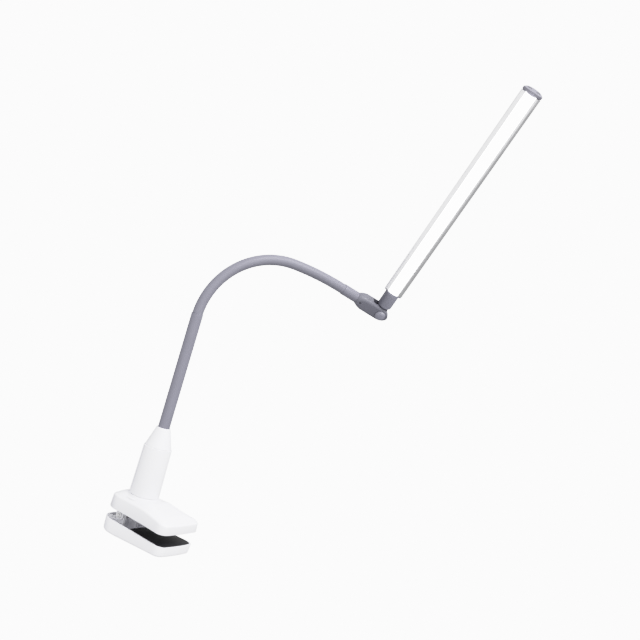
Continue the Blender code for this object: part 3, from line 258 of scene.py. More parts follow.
# Arm: a rigid stem, a flexible gooseneck of two arcs, and a straight end that carries the clevis.
STEM_RADIUS = 5.45 * MM
STEM_BORE = 3.9 * MM
STEM_FOOT = RIM_Z + 63.0 * MM
STEM_TOP = RIM_Z + 193.6 * MM
STEM_BORE_TOP = 2.0 * MM
STEM_NECK = 3.0 * MM
STEM_EASE = 0.35 * MM
STEM_STEPS = 12
ARM_HEADING = radians(51.9)
ARC_START = RIM_Z + 190.8 * MM
ARCS = ((71.9 * MM, radians(94.2)), (300.0 * MM, radians(9.65)))
STRAIGHT = 5.0 * MM
HINGES = 8
GOOSE_RADIUS = 5.0 * MM
GOOSE_SIDES = 56
GOOSE_STEPS = 22
GOOSE_SEAM = 0.05 * MM
GOOSE_BEND_SHARE = 0.92
SLEEVE_TO_PIVOT = 45.2 * MM

# Clevis: distances run along the arm from the pivot.
SLEEVE_RADIUS = 5.4 * MM
SLEEVE_BORE = 3.2 * MM
SLEEVE_TENON = 4.2 * MM
SLEEVE_TENON_LENGTH = 8.0 * MM
SLEEVE_EASE = 0.15 * MM
CLEVIS_ROLL = radians(35.2)
CLEVIS_FOOT = 28.7 * MM
CLEVIS_FOOT_HALF = 5.0 * MM
CLEVIS_FOOT_STEP = 0.35 * MM
CLEVIS_FOOT_CORNER = 6.0 * MM
CLEVIS_SHOULDER = 20.0 * MM
CLEVIS_SWELL_SHARES = (0.25, 0.5, 0.75, 1.0)
CLEVIS_SWELL_POWER = 0.9
CLEVIS_SWELL_CORNER = 3.2 * MM
CLEVIS_WAIST = 10.0 * MM
CLEVIS_HALF_HEIGHT = 7.3 * MM
CLEVIS_HALF_THICK = 6.6 * MM
CLEVIS_CORNER = 3.0 * MM
CLEVIS_LEAST_CORNER = 0.12 * MM
CLEVIS_CORNER_STEPS = 8
CLEVIS_END = 8.3 * MM
CLEVIS_END_TURN = 86
CLEVIS_END_STEPS = 14
CLEVIS_EDGE = 0.3 * MM
CLEVIS_REACH = 12.0 * MM
CLEVIS_MORTISE = (4.5 * MM, -8.4 * MM, 2.0 * MM)
CLEVIS_RECESS = (3.4 * MM, -1.4 * MM, 3.0 * MM)
SLOT_HALF = 3.2 * MM
SLOT_DEPTH = 13.0 * MM
PIVOT_HOLE = (1.8 * MM, -CLEVIS_REACH, CLEVIS_REACH)
SET_SCREW_X = -24.5 * MM
SET_SCREW_HOLE = (1.15 * MM, 4.0 * MM, 9.0 * MM)
SET_SCREW_PROFILE = in_mm((0.6, 5.7), (0.95, 5.7), (0.95, 4.5))
SET_SCREW_EASE = 0.12 * MM
HEX_HOLE = (0.45 * MM, 5.1 * MM, 6.5 * MM)
DOME_RADIUS = 5.3 * MM
DOME_GAP = 0.2 * MM
DOME_FOOT = 5.0 * MM
DOME_FOOT_EDGE = 0.2 * MM
DOME_RIM = 0.5 * MM
DOME_RISE = 1.9 * MM
DOME_ROOM_RADIUS = 3.2 * MM
DOME_ROOM_DEPTH = 0.7 * MM
DOME_TURN = 88
DOME_STEPS = 12
BEVEL_ANGLE = 40
BEVEL_SEGMENTS = 3

# Knuckle and head: a round barrel that swivels, then the LED bar.
HEAD_TILT = radians(99.9)
HEAD_SWIVEL = radians(-22.0)
HEAD_OFFSET = -0.45 * MM
TONGUE_HALF = 2.3 * MM
TONGUE_RADIUS = 5.4 * MM
TONGUE_STEPS = 40
TONGUE_HOLE = (1.6 * MM, -5.0 * MM, 5.0 * MM)
KNUCKLE_EDGE = 0.2 * MM
SPIGOT_HOLE = (1.1 * MM, 2.0 * MM, 9.0 * MM)
BARREL_START = 9.2 * MM
SPIGOT = (3.0 * MM, 6.8 * MM, BARREL_START + 6.9 * MM)
BARREL_RADIUS = 7.1 * MM
BARREL_EDGE = in_mm((0.7, 0.0), (0.4, 0.06), (0.15, 0.28), (0.0, 0.7))
BARREL_BORE = (3.1 * MM, -1.0 * MM, 7.2 * MM)
BARREL_SCREW_HOLE = (1.4 * MM, 7.0 * MM, 8.5 * MM)
FLANGE_SHARE = 0.97
FLANGE_SHIFT = 0.2 * MM
FLANGE_EMBED = 0.2 * MM
PLATE_THICK = 1.2 * MM
PLUG_SLACK = 0.4 * MM
PLUG_EMBED = 0.5 * MM
BARREL_PLUG = 8.0 * MM
CAP_PLUG = 5.0 * MM
BAR_START = 27.6 * MM
BARREL_WELL = (4.3 * MM, BARREL_START + 8.2 * MM, BAR_START + 9.0 * MM)
BAR_LENGTH = 236.0 * MM
BAR_END = BAR_START + BAR_LENGTH
BAR_STEPS = 24
CAP_THICK = 3.0 * MM
CAP_EDGE = 0.7 * MM
CAP_EDGE_STEPS = 5
CHANNEL_END = BAR_END - CAP_THICK - GAP
BAR_HALF = 9.4 * MM
BAR_BODY_HALF = 8.7 * MM
BAR_SPRING = 0.9 * MM
BAR_SHOULDER = ((5.75 * MM, 3.6 * MM), (7.1 * MM, 3.35 * MM), (8.55 * MM, 2.6 * MM), (BAR_HALF, 2.0 * MM),
                (BAR_HALF, 1.2 * MM), (BAR_BODY_HALF, BAR_SPRING))
BAR_SHOULDER_EASE = 0.5 * MM
BAR_SHOULDER_STEPS = 3
BAR_DEPTH = 7.7 * MM
BAR_BACK_STEPS = 31
LENS_SEAT_HALF = 5.75 * MM
CAVITY_HALF = 7.4 * MM
CAVITY_TOP = 2.1 * MM
CAVITY_DEPTH = 6.4 * MM
CAVITY_STEPS = 24
LENS_HALF = 5.45 * MM
LENS_WALL = 1.2 * MM
LENS_FOOT = 2.2 * MM
LENS_SPRING = 3.6 * MM
LENS_RISE = 2.5 * MM
LENS_STEPS = 16
CAP_SCREW_X = 4.2 * MM
CAP_SCREW_Y = -1.6 * MM
CAP_SCREW_HOLE = (1.0 * MM, -8.0 * MM, 1.0 * MM)
CAP_SCREW_SINK = in_mm((1.75, -0.9), (1.75, -0.3), (2.1, 0.1), (2.1, 1.0))
CAP_SCREW_PROFILE = in_mm((0.85, -7.0), (0.85, -0.7), (1.5, -0.7), (1.5, -0.2), (1.2, 0.02), (0.6, 0.1))
CROSS_LONG = 0.95 * MM
CROSS_SHORT = 0.18 * MM
CROSS_DEPTH = 0.5 * MM
CUT_PAST = 1.0 * MM

# Materials: scales of their noise, depth and strength of their relief, and the glow of the lens.
GRAIN_SCALE = 2600.0
GRAIN_STRENGTH = 0.14
MARK_SCALE = 60.0
POLISH_SCALE = 90.0
LINE_DEPTH = 0.006 * MM
LINE_STRENGTH = 0.5
LENS_GRAIN_SCALE = 1800.0
LENS_MARK_SCALE = 70.0
LENS_GLOW = 2.2

# Light, in scene units, and how it is shown: bright whites roll off softly.
BACKDROP = 2.2
FLOOR_SIDE = 6.0
FLOOR_DROP = 0.30
FLOOR_TINT = 1.0
FLOOR_DARK = 0.44
FLOOR_LIGHT = 1.30
FLOOR_LIGHT_FROM = Vector((0.1, -1.0, 0))
FLOOR_FADE = (0.1, 0.5)
SKY_FROM = Vector((0.55, -0.12, 0.66)).normalized()
SKY_TINT = 0.8
SKY_DIM = 0.0
SKY_BRIGHT = 2.45
KEY_AT = (0.9, -0.3, 1.3)
KEY_TO = (0.03, 0.05, 0.15)
KEY_SIZE = 0.9
KEY_POWER = 21.0
SIDE_AT = (0.42, 0.02, 0.17)
SIDE_TO = (0.03, 0.05, 0.12)
SIDE_SIZE = 0.08
SIDE_POWER = 1.5
SIDE_LIT = ("clamp_lower_pad", "pivot_", "head_barrel")
TONE_WHITE = 2.8
TONE = ((0.4, 0.4), (0.8, 0.70), (0.96, 0.78), (1.6, 0.896), (2.0, 0.947), (2.2, 0.965), (2.6, 1.0))
CAMERA_AT = (0.5253, -0.7393, 0.2643)
CAMERA_AZIMUTH = radians(30.1)
CAMERA_ELEVATION = radians(2.7)
CAMERA_ROLL = radians(16.8)
CAMERA_LENS = 56.25
CAMERA_SENSOR = 36


# ---------------- mesh helpers


def finished(name, shape, body, material, nodes, angle=35, world=None):
    """Turns a bmesh into a piece: shaded smooth under an angle, riding on its body."""
    bmesh.ops.recalc_face_normals(shape, faces=shape.faces)
    data = bpy.data.meshes.new(name)
    shape.to_mesh(data)
    shape.free()
    data.shade_smooth()
    data.set_sharp_from_angle(angle=radians(angle))
    piece = bpy.data.objects.new(name, data)
    bpy.context.scene.collection.objects.link(piece)
    if world is not None:
        data.transform(world)
    data.materials.append(material)
    if body:
        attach(piece, body)
    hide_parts(*nodes)
    return piece


def skin(shape, pairs, count):
    """Joins each pair of rows of corners with faces."""
    for low, high in pairs:
        for i in range(count):
            j = (i + 1) % count
            shape.faces.new((low[i], low[j], high[j], high[i]))


def loft(rings, wrap=False):
    """Skins rings of points; the ends are capped unless the rings wrap round."""
    shape = bmesh.new()
    rows = [[shape.verts.new(point) for point in ring] for ring in rings]
    count = len(rings[0])
    pairs = list(zip(rows, rows[1:]))
    if wrap:
        pairs.append((rows[-1], rows[0]))
    skin(shape, pairs, count)
    if not wrap:
        shape.faces.new(rows[0])
        shape.faces.new(rows[-1])
    bmesh.ops.recalc_face_normals(shape, faces=shape.faces)
    return shape


def circle(radius, height, sides=ROUND):
    step = 2 * pi / sides
    return [Vector((radius * cos(step * i), radius * sin(step * i), height))
            for i in range(sides)]


def turned(profile, sides=ROUND):
    """A lathe shape from (radius, height) points, its ends capped."""
    return loft([circle(radius, height, sides) for radius, height in profile])


def ring_solid(profile, sides=ROUND):
    """A lathe shape from a closed profile, hollow along its axis."""
    return loft([circle(radius, height, sides) for radius, height in profile], wrap=True)


def bore(size, sides, start=0.0):
    """A plain cylinder for a hole or a peg: its radius and its two ends, measured from start."""
    radius, low, high = size
    return turned([(radius, start + low), (radius, start + high)], sides)


def arc(centre, radius, start, end, count):
    step = (end - start) / count
    angles = [radians(start + step * i) for i in range(count + 1)]
    return [(centre[0] + radius * cos(a), centre[1] + radius * sin(a)) for a in angles]


def rounded(points, radius, count=4):
    """Rounds the inside corners of an open run of (x, y) points with small arcs."""
    out = [points[0]]
    for before, corner, after in zip(points, points[1:], points[2:]):
        corner_v = Vector(corner)
        back = Vector(before) - corner_v
        ahead = Vector(after) - corner_v
        cut = min(radius, back.length * MOST_CUT_SHARE, ahead.length * MOST_CUT_SHARE)
        start = corner_v + back.normalized() * cut
        end = corner_v + ahead.normalized() * cut
        for i in range(count + 1):
            share = i / count
            point = start * (1 - share) ** 2 + corner_v * (2 * share * (1 - share)) + end * share**2
            out.append((point.x, point.y))
    return out + [points[-1]]


def prism(outline, low, high, edge=0.0, steps=3):
    """Extrudes an outline along Z, its ends eased by edge."""
    count = len(outline)
    centre = Vector((sum(x for x, y in outline) / count, sum(y for x, y in outline) / count))
    size = max((Vector(point) - centre).length for point in outline)

    def ring(z, pull):
        factor = 1 - pull / size
        return [Vector((centre.x + (x - centre.x) * factor, centre.y + (y - centre.y) * factor, z))
                for x, y in outline]

    if not edge:
        return loft([ring(low, 0), ring(high, 0)])
    rings = []
    for i in range(steps):
        turn = radians(90 - 90 * i / steps)
        rings.append(ring(low + edge * (1 - sin(turn)), edge * (1 - cos(turn))))
    rings.append(ring(low + edge, 0))
    rings.append(ring(high - edge, 0))
    for i in range(1, steps + 1):
        turn = radians(90 * i / steps)
        rings.append(ring(high - edge * (1 - sin(turn)), edge * (1 - cos(turn))))
    return loft(rings)


def block(low, high):
    rings = []
    for z in (low[2], high[2]):
        corners = [(low[0], low[1]), (high[0], low[1]), (high[0], high[1]), (low[0], high[1])]
        rings.append([Vector((x, y, z)) for x, y in corners])
    return loft(rings)


def combined(base, others, operation):
    """Base united with, or cut by, the other shapes."""
    def made(shape):
        data = bpy.data.meshes.new("part")
        shape.to_mesh(data)
        shape.free()
        piece = bpy.data.objects.new("part", data)
        bpy.context.scene.collection.objects.link(piece)
        return piece

    target = made(base)
    helpers = []
    for other in others:
        helper = made(other)
        helpers.append(helper)
        modifier = target.modifiers.new("join", "BOOLEAN")
        modifier.operation = operation
        modifier.solver = "EXACT"
        modifier.object = helper
    graph = bpy.context.evaluated_depsgraph_get()
    result = bmesh.new()
    result.from_mesh(target.evaluated_get(graph).to_mesh())
    for piece in [target] + helpers:
        data = piece.data
        bpy.data.objects.remove(piece)
        bpy.data.meshes.remove(data)
    return result


def moved(shape, matrix):
    """The shape in its new place, with its faces turned back if the matrix mirrors it."""
    shape.transform(matrix)
    if matrix.determinant() < 0:
        bmesh.ops.reverse_faces(shape, faces=shape.faces)
    return shape


def place(x=0.0, y=0.0, z=0.0):
    return Matrix.Translation((x, y, z))


def along_y(point):
    """From a lathe shape's own frame to an axis along Y through the point."""
    return place(*point) @ Matrix.Rotation(radians(-90), 4, "X")


def along_back(point):
    """From a lathe shape's own frame to an axis along -X through the point."""
    return place(*point) @ Matrix.Rotation(radians(-90), 4, "Y")


def mix(a, b, share):
    return a + (b - a) * share


# ---------------- materials


class Look:
    """A node material in the making."""

    def __init__(self, name, color, roughness, metallic=0.0, **sockets):
        self.material = bpy.data.materials.new(name)
        self.material.use_nodes = True
        self.tree = self.material.node_tree
        self.shader = self.tree.nodes["Principled BSDF"]
        self.shader.inputs["Base Color"].default_value = (*color, 1)
        self.shader.inputs["Roughness"].default_value = roughness
        self.shader.inputs["Metallic"].default_value = metallic
        for key, value in sockets.items():
            self.shader.inputs[key.replace("_", " ")].default_value = value
        self.coords = self.tree.nodes.new("ShaderNodeTexCoord")
        self.bump_end = None

    def node(self, kind, **inputs):
        made = self.tree.nodes.new(kind)
        for key, value in inputs.items():
            made.inputs[key.replace("_", " ")].default_value = value
        return made

    def link(self, a, b):
        self.tree.links.new(a, b)

    def noise(self, scale, detail=2.0, stretch=(1, 1, 1), rough=0.5):
        mapping = self.node("ShaderNodeMapping")
        mapping.inputs["Scale"].default_value = stretch
        self.link(self.coords.outputs["Object"], mapping.inputs["Vector"])
        noise = self.node("ShaderNodeTexNoise", Scale=scale, Detail=detail, Roughness=rough)
        self.link(mapping.outputs["Vector"], noise.inputs["Vector"])
        return noise.outputs["Fac"]

    def ranged(self, value, low, high, bottom=0.3, top=0.7):
        ranger = self.node("ShaderNodeMapRange")
        ranger.inputs["From Min"].default_value = bottom
        ranger.inputs["From Max"].default_value = top
        ranger.inputs["To Min"].default_value = low
        ranger.inputs["To Max"].default_value = high
        self.link(value, ranger.inputs["Value"])
        return ranger.outputs["Result"]

    def bump(self, value, height, strength=1.0):
        """Adds one layer of relief, height in metres."""
        bump = self.node("ShaderNodeBump", Strength=strength, Distance=height)
        self.link(value, bump.inputs["Height"])
        if self.bump_end is not None:
            self.link(self.bump_end, bump.inputs["Normal"])
        self.bump_end = bump.outputs["Normal"]
        self.link(self.bump_end, self.shader.inputs["Normal"])
        return self

    def rough(self, value, low, high):
        self.link(self.ranged(value, low, high), self.shader.inputs["Roughness"])
        return self

    def tint(self, value, dark, light):
        """Varies the colour between two shades."""
        ramp = self.node("ShaderNodeValToRGB")
        ramp.color_ramp.elements[0].position = 0.3
        ramp.color_ramp.elements[0].color = (*dark, 1)
        ramp.color_ramp.elements[1].position = 0.7
        ramp.color_ramp.elements[1].color = (*light, 1)
        self.link(value, ramp.inputs["Fac"])
        self.link(ramp.outputs["Color"], self.shader.inputs["Base Color"])
        return self


def shade(color, factor):
    return tuple(min(1, channel * factor) for channel in color)


def plastic(name, color, rough, spread=0.04, grain=0.02 * MM, **sockets):
    """Moulded plastic: a fine spark-eroded grain, faint handling marks and colour drift."""
    look = Look(name, color, rough, **sockets)
    fine = look.noise(GRAIN_SCALE, 3.0)
    broad = look.noise(MARK_SCALE, 4.0)
    look.bump(fine, grain, GRAIN_STRENGTH)
    look.rough(broad, rough - 0.05, rough + 0.06)
    look.tint(broad, shade(color, 1 - spread), shade(color, 1 + spread / 2))
    return look.material


def metal(name, color, rough, stretch=(1, 1, 1), scale=900.0):
    """Metal with fine drawn or turned lines and uneven polish."""
    look = Look(name, color, rough, metallic=1.0)
    lines = look.noise(scale, 4.0, stretch, 0.6)
    broad = look.noise(POLISH_SCALE, 3.0)
    look.bump(lines, LINE_DEPTH, LINE_STRENGTH)
    look.rough(broad, rough - 0.06, rough + 0.08)
    look.tint(lines, shade(color, 0.93), shade(color, 1.04))
    return look.material


white = plastic("white_shell", (0.80, 0.80, 0.845), 0.32, 0.012)
grey = plastic("grey_moulded", (0.114, 0.114, 0.144), 0.44, 0.05, 0.006 * MM)
cap_grey = plastic("end_cap_grey", (0.150, 0.147, 0.180), 0.42, 0.05)
sleeve = plastic("silicone_sleeve", (0.160, 0.158, 0.197), 0.50, 0.04, 0.03 * MM)
stem_paint = plastic("stem_paint", (0.160, 0.158, 0.198), 0.42, 0.04)
rubber = plastic("pad_rubber", (0.006, 0.006, 0.008), 0.62, 0.2, 0.05 * MM, Specular_IOR_Level=0.25)
aluminium = metal("anodised_aluminium", (0.84, 0.84, 0.86), 0.26, (1, 1, 0.02), 1400.0)
steel = metal("zinc_steel", (0.55, 0.55, 0.56), 0.30)
dark_steel = metal("dark_steel", (0.16, 0.16, 0.18), 0.38)
brass = metal("brass", (0.70, 0.52, 0.26), 0.32)
nylon = plastic("nylon", (0.72, 0.70, 0.64), 0.5)
cell_wrap = plastic("cell_wrap", (0.06, 0.16, 0.42), 0.35)
board_green = plastic("board_green", (0.02, 0.14, 0.06), 0.42)
board_white = plastic("board_white", (0.80, 0.80, 0.78), 0.42)

lens_look = Look("opal_diffuser", (0.93, 0.93, 0.94), 0.42, Emission_Strength=LENS_GLOW)
lens_look.shader.inputs["Emission Color"].default_value = (1.0, 1.0, 1.0, 1)
lens_look.bump(lens_look.noise(LENS_GRAIN_SCALE), 0.01 * MM, 0.3)
lens_look.rough(lens_look.noise(LENS_MARK_SCALE), 0.38, 0.46)
opal = lens_look.material


# ---------------- clamp


def half_outline(form, inset):
    """One side of a jaw's outline, from the middle of its back to the middle of its front."""
    back = form["back"] + inset
    front = form["front"] - inset
    back_corner = BACK_CORNER - inset
    front_corner = max(FRONT_CORNER - inset, LEAST_CORNER)
    back_y = form["back_half"] - inset
    front_y = form["front_half"] - inset
    back_centre = (back + back_corner, back_y - back_corner)
    front_centre = (front - front_corner, front_y - front_corner)
    back_arc = arc(back_centre, back_corner, 180, 90, BACK_CORNER_STEPS)
    front_arc = arc(front_centre, front_corner, 90, 0, FRONT_CORNER_STEPS)
    start = back_arc[-1]
    end = front_arc[0]
    flank = []
    for i in range(1, FLANK_STEPS):
        share = i / FLANK_STEPS
        flank.append((mix(start[0], end[0], share), mix(start[1], end[1], share**FLARE_POWER)))
    nose = []
    edge = front_arc[-1]
    for i in range(1, NOSE_STEPS):
        share = i / NOSE_STEPS
        x = mix(edge[0], front + FRONT_BOW, sin(share * pi / 2))
        nose.append((x, mix(edge[1], 0, share)))
    return [(back - BACK_BOW, 0.0)] + back_arc + flank + front_arc + nose + [(front + FRONT_BOW, 0.0)]


def full_outline(form, inset):
    half = half_outline(form, inset)
    return half + [(x, -y) for x, y in reversed(half[1:-1])]


def jaw_height(form, x):
    if x > form["slope_start"]:
        share = (x - form["slope_start"]) / (form["front"] - form["slope_start"])
        return form["deck"] - (form["deck"] - form["lip"]) * share**SLOPE_POWER
    share = max(0.0, (form["back"] + BACK_REACH - x) / BACK_REACH)
    return form["deck"] - (form["deck"] - form["back_height"]) * share**2


def jaw_rise(form, x):
    share = max(0.0, (x - form["slope_start"]) / (form["front"] - form["slope_start"]))
    return form["crown"] * (1 - LIP_RISE_LOSS * min(1.0, share))


def jaw_shell(form):
    """A hollow jaw with a rounded rim, open at z = 0."""

    def ring(inset, drop, rise):
        return [Vector((x, y, jaw_height(form, x) - drop + jaw_rise(form, x) * rise))
                for x, y in full_outline(form, inset)]

    def flat(inset, z):
        return [Vector((x, y, z)) for x, y in full_outline(form, inset)]

    outer = [flat(RIM_EDGE, 0), flat(RIM_EDGE * RIM_EASE, RIM_EDGE * RIM_EASE), flat(0, RIM_EDGE)]
    outer.append(ring(JAW_DRAFT, JAW_FILLET, 0))
    for i in range(1, ROUNDING_STEPS + 1):
        turn = radians(90 * i / ROUNDING_STEPS)
        inset = JAW_DRAFT + JAW_FILLET * (1 - cos(turn))
        outer.append(ring(inset, JAW_FILLET * (1 - sin(turn)), 0))
    start = JAW_DRAFT + JAW_FILLET
    inner = [flat(JAW_WALL - INNER_EDGE, 0), flat(JAW_WALL, INNER_EDGE_RISE)]
    inner.append(ring(JAW_WALL + INNER_DRAFT, JAW_WALL + INNER_CHAMFER_DROP, 0))
    inner.append(ring(JAW_WALL + INNER_CHAMFER, JAW_WALL, 0))
    for i in range(1, ROUNDING_STEPS + 1):
        share = i / ROUNDING_STEPS
        inset = mix(start, CROWN_END, share)
        rise = sin(share * pi / 2)
        outer.append(ring(inset, 0, rise))
        inner.append(ring(max(inset, JAW_WALL + JAW_FILLET), JAW_WALL, rise))
    rings = list(reversed(outer)) + inner
    shape = bmesh.new()
    rows = [[shape.verts.new(point) for point in row] for row in rings]
    count = len(rows[0])
    skin(shape, zip(rows, rows[1:]), count)
    for row in (rows[0], rows[-1]):
        for i in range(count // 2):
            corners = [row[i], row[i + 1], row[-i - 1], row[-i] if i else row[0]]
            corners = [v for k, v in enumerate(corners) if v not in corners[:k]]
            shape.faces.new(corners)
    bmesh.ops.recalc_face_normals(shape, faces=shape.faces)
    return shape


def ear(reach_up):
    """A hinge ear round the pin, seen along Y."""
    half = EAR_RADIUS + EAR_FOOT
    outline = [(-half, reach_up), (half, reach_up)] + arc((0, 0), EAR_RADIUS, 0, -180, EAR_STEPS)
    return moved(prism(outline, 0, EAR_THICK), Matrix.Rotation(radians(90), 4, "X"))


def ribs(form):
    """Two cross ribs and a long one, which carry the pad."""
    made = []
    top = PAD_THICK - PAD_PROUD + GAP
    for x in RIB_PLACES:
        sides = half_outline(form, RIB_INSET)
        across = min(y for px, y in sides if x - RIB_LOOK_BACK < px < x + RIB_LOOK_AHEAD)
        far = x + RIB_THICK
        reach = jaw_height(form, far) + jaw_rise(form, far) * RIB_CROWN_SHARE - RIB_EMBED
        made.append(block((x, -across, top), (far, across, reach)))
    low = (RIB_PLACES[0], -RIB_THICK / 2, top)
    made.append(block(low, (LONG_RIB_FRONT, RIB_THICK / 2, form["lip"] - LONG_RIB_EMBED)))
    return made


def pad_shape(form):
    """The rubber pad: rounded edges, its outer face at z = -PAD_PROUD."""
    half = [(x, y) for x, y in half_outline(form, PAD_INSET) if x > PAD_BACK + PAD_BACK_CLEARANCE]
    half = [(PAD_BACK, half[0][1] - PAD_BACK_PULL)] + half
    outline = half + [(x, -y) for x, y in reversed(half[:-1])]

    def ring(z, pull):
        along = 1 - pull / PAD_HALF_LENGTH
        across = 1 - pull / PAD_HALF_WIDTH
        return [Vector((PAD_CENTRE + (x - PAD_CENTRE) * along, y * across, z)) for x, y in outline]

    rings = [ring(PAD_EDGE * rise - PAD_PROUD, PAD_EDGE * pull) for rise, pull in PAD_EDGE_STEPS]
    rings.append(ring(PAD_THICK - PAD_PROUD, 0))
    return loft(rings)


def lower_matrix():
    """From the lower jaw's own frame, rim at z = 0 and deck up, to its place below the upper jaw."""
    turn = Matrix.Rotation(LOWER_TILT, 4, "Y")
    down = place(z=-MOUTH_GAP / 2) @ place(x=-PIN.x) @ Matrix.Diagonal((1, -1, -1, 1))
    return place(*PIN) @ turn @ down


def pin_bore(to_jaw):
    return moved(bore(PIN_BORE, PIN_ROUND), to_jaw @ along_y(PIN))


def neck_seat():
    """The flared collar that the neck stands on."""
    inside = NECK_FOOT - SEAT_INSET
    profile = [(inside, SEAT_LOW), (inside, SEAT_STEP)]
    for k in range(9):
        turn = radians(10 * k)
        x = NECK_FOOT + SEAT_FLARE - SEAT_FLARE_IN * sin(turn)
        profile.append((x, SEAT_TOP - SEAT_FLARE * cos(turn)))
    profile += [(NECK_FOOT + out, z) for out, z in SEAT_LIP]
    return moved(turned(profile), place(NECK_X))


def build_upper_jaw():
    rim = place(z=RIM_Z)
    joined = [neck_seat()] + ribs(UPPER)
    drop = PIN.z - RIM_Z
    for y in (UPPER_EAR_Y + EAR_THICK, -UPPER_EAR_Y):
        joined.append(moved(ear(UPPER_EAR_TOP - drop), place(PIN.x, y, drop)))
    shape = combined(jaw_shell(UPPER), joined, "UNION")
    holes = [pin_bore(place(z=-RIM_Z))]
    for k in range(3):
        turn = radians(NECK_SCREW_START + 120 * k)
        x = NECK_X + NECK_SCREW_CIRCLE * cos(turn)
        y = NECK_SCREW_CIRCLE * sin(turn)
        holes.append(moved(bore(NECK_SCREW_HOLE, CORE_ROUND), place(x, y)))
    shape = combined(shape, holes, "DIFFERENCE")
    finished("clamp_upper_shell", shape, "base", white, ["upper_jaw_shell"], 32, rim)
    finished("clamp_upper_pad", pad_shape(UPPER), "base", rubber, ["upper_pad"], 32, rim)


def build_lower_jaw():
    lower = lower_matrix()
    to_rim = lower.inverted()
    joined = ribs(LOWER)
    for y in (LOWER_EAR_Y, -LOWER_EAR_Y - EAR_THICK):
        to_ear = place(*PIN) @ Matrix.Rotation(LOWER_TILT, 4, "Y") @ place(y=y)
        shape = ear(LOWER["deck"] - LOWER_EAR_EMBED + MOUTH_GAP / 2)
        joined.append(moved(shape, to_rim @ to_ear @ Matrix.Diagonal((1, -1, -1, 1))))
    posts = [place(POST_X, y) for y in (POST_Y, -POST_Y)]
    post_top = [(POST_FACE, POST_TOP), (POST_RADIUS, POST_TOP), (POST_RADIUS, POST_WAIST)]
    profile = rounded(post_top, POST_EDGE) + [(POST_RADIUS, LOWER["deck"] - SKIN_EMBED)]
    for spot in posts:
        joined.append(moved(turned(profile, MEDIUM_ROUND), spot))
    shape = combined(jaw_shell(LOWER), joined, "UNION")
    holes = [pin_bore(to_rim)]
    for spot in posts:
        holes.append(moved(turned(POST_HOLE, PIN_ROUND), spot))
    shape = combined(shape, holes, "DIFFERENCE")
    finished("clamp_lower_shell", shape, "lower_jaw", white, ["lower_jaw_shell"], 32,
             lower)
    finished("clamp_lower_pad", pad_shape(LOWER), "lower_jaw", rubber, ["lower_pad"], 32,
             lower)


def build_pin():
    reach = UPPER_EAR_Y + EAR_THICK
    half = reach + PIN_OVERHANG
    profile = [(PIN_TIP_RADIUS, -half), (PIN_RADIUS, -half + PIN_TIP), (PIN_RADIUS, half - PIN_HEAD[0][1])]
    profile += [(radius, half - drop) for radius, drop in PIN_HEAD]
    pin = turned(profile, SMALL_ROUND)
    finished("clamp_hinge_pin", pin, "base", steel, ["hinge_pin"], 30, along_y(PIN))
    low = -reach - CLIP_OFFSET
    high = low + CLIP_THICK
    clip = ring_solid([(CLIP_BORE, low), (CLIP_RADIUS - CLIP_EDGE, low), (CLIP_RADIUS, low + CLIP_EDGE),
                       (CLIP_RADIUS, high - CLIP_EDGE), (CLIP_RADIUS - CLIP_EDGE, high), (CLIP_BORE, high)],
                      SMALL_ROUND)
    finished("clamp_pin_clip", clip, "base", steel, ["pin_clip"], 30, along_y(PIN))


def tube_along(points, radius, sides):
    rings = []
    side = Vector((0, 1, 0))
    step = 2 * pi / sides
    for i, point in enumerate(points):
        heading = (points[min(i + 1, len(points) - 1)] - points[max(i - 1, 0)]).normalized()
        side = (side - heading * side.dot(heading)).normalized()
        other = heading.cross(side)
        rings.append([point + (side * cos(step * k) + other * sin(step * k)) * radius
                      for k in range(sides)])
    return loft(rings)


def build_spring():
    """A torsion spring round the pin: a coil and two straight legs."""
    pitch = 2 * SPRING_WIRE + SPRING_PITCH_GAP
    steps = int(SPRING_TURNS * SPRING_STEPS)
    coil = []
    for i in range(steps + 1):
        angle = SPRING_START + SPRING_TURNS * 2 * pi * i / steps
        y = (i / steps - 0.5) * pitch * SPRING_TURNS
        coil.append(Vector((SPRING_RADIUS * cos(angle), y, SPRING_RADIUS * sin(angle))))
    first = Vector((cos(SPRING_UPPER_LEG), 0, sin(SPRING_UPPER_LEG))) * SPRING_LEG
    end_angle = SPRING_START + SPRING_TURNS * 2 * pi
    last = Vector((-sin(end_angle), 0, cos(end_angle))) * SPRING_LEG
    path = [coil[0] + first * (1 - k / SPRING_LEG_STEPS) for k in range(SPRING_LEG_STEPS)] + coil
    path += [coil[-1] + last * k / SPRING_LEG_STEPS for k in range(1, SPRING_LEG_STEPS + 1)]
    finished("clamp_spring", tube_along(path, SPRING_WIRE, SPRING_SIDES), "base", steel,
             ["jaw_spring"], 50, place(*PIN))


# ---------------- neck and stem


def oval(half_width, half_height):
    """A slot's outline: two half circles joined by straight sides."""
    side = []
    for k in range(13):
        turn = radians(-90 + 15 * k)
        x = half_width - half_height + half_height * cos(turn)
        side.append((x, half_height * sin(turn)))
    return side + [(-x, -y) for x, y in side]


# Turns the socket's outline to face the neck's rear side.
TO_REAR = Matrix(((0, 0, -1), (1, 0, 0), (0, 1, 0))).to_4x4()


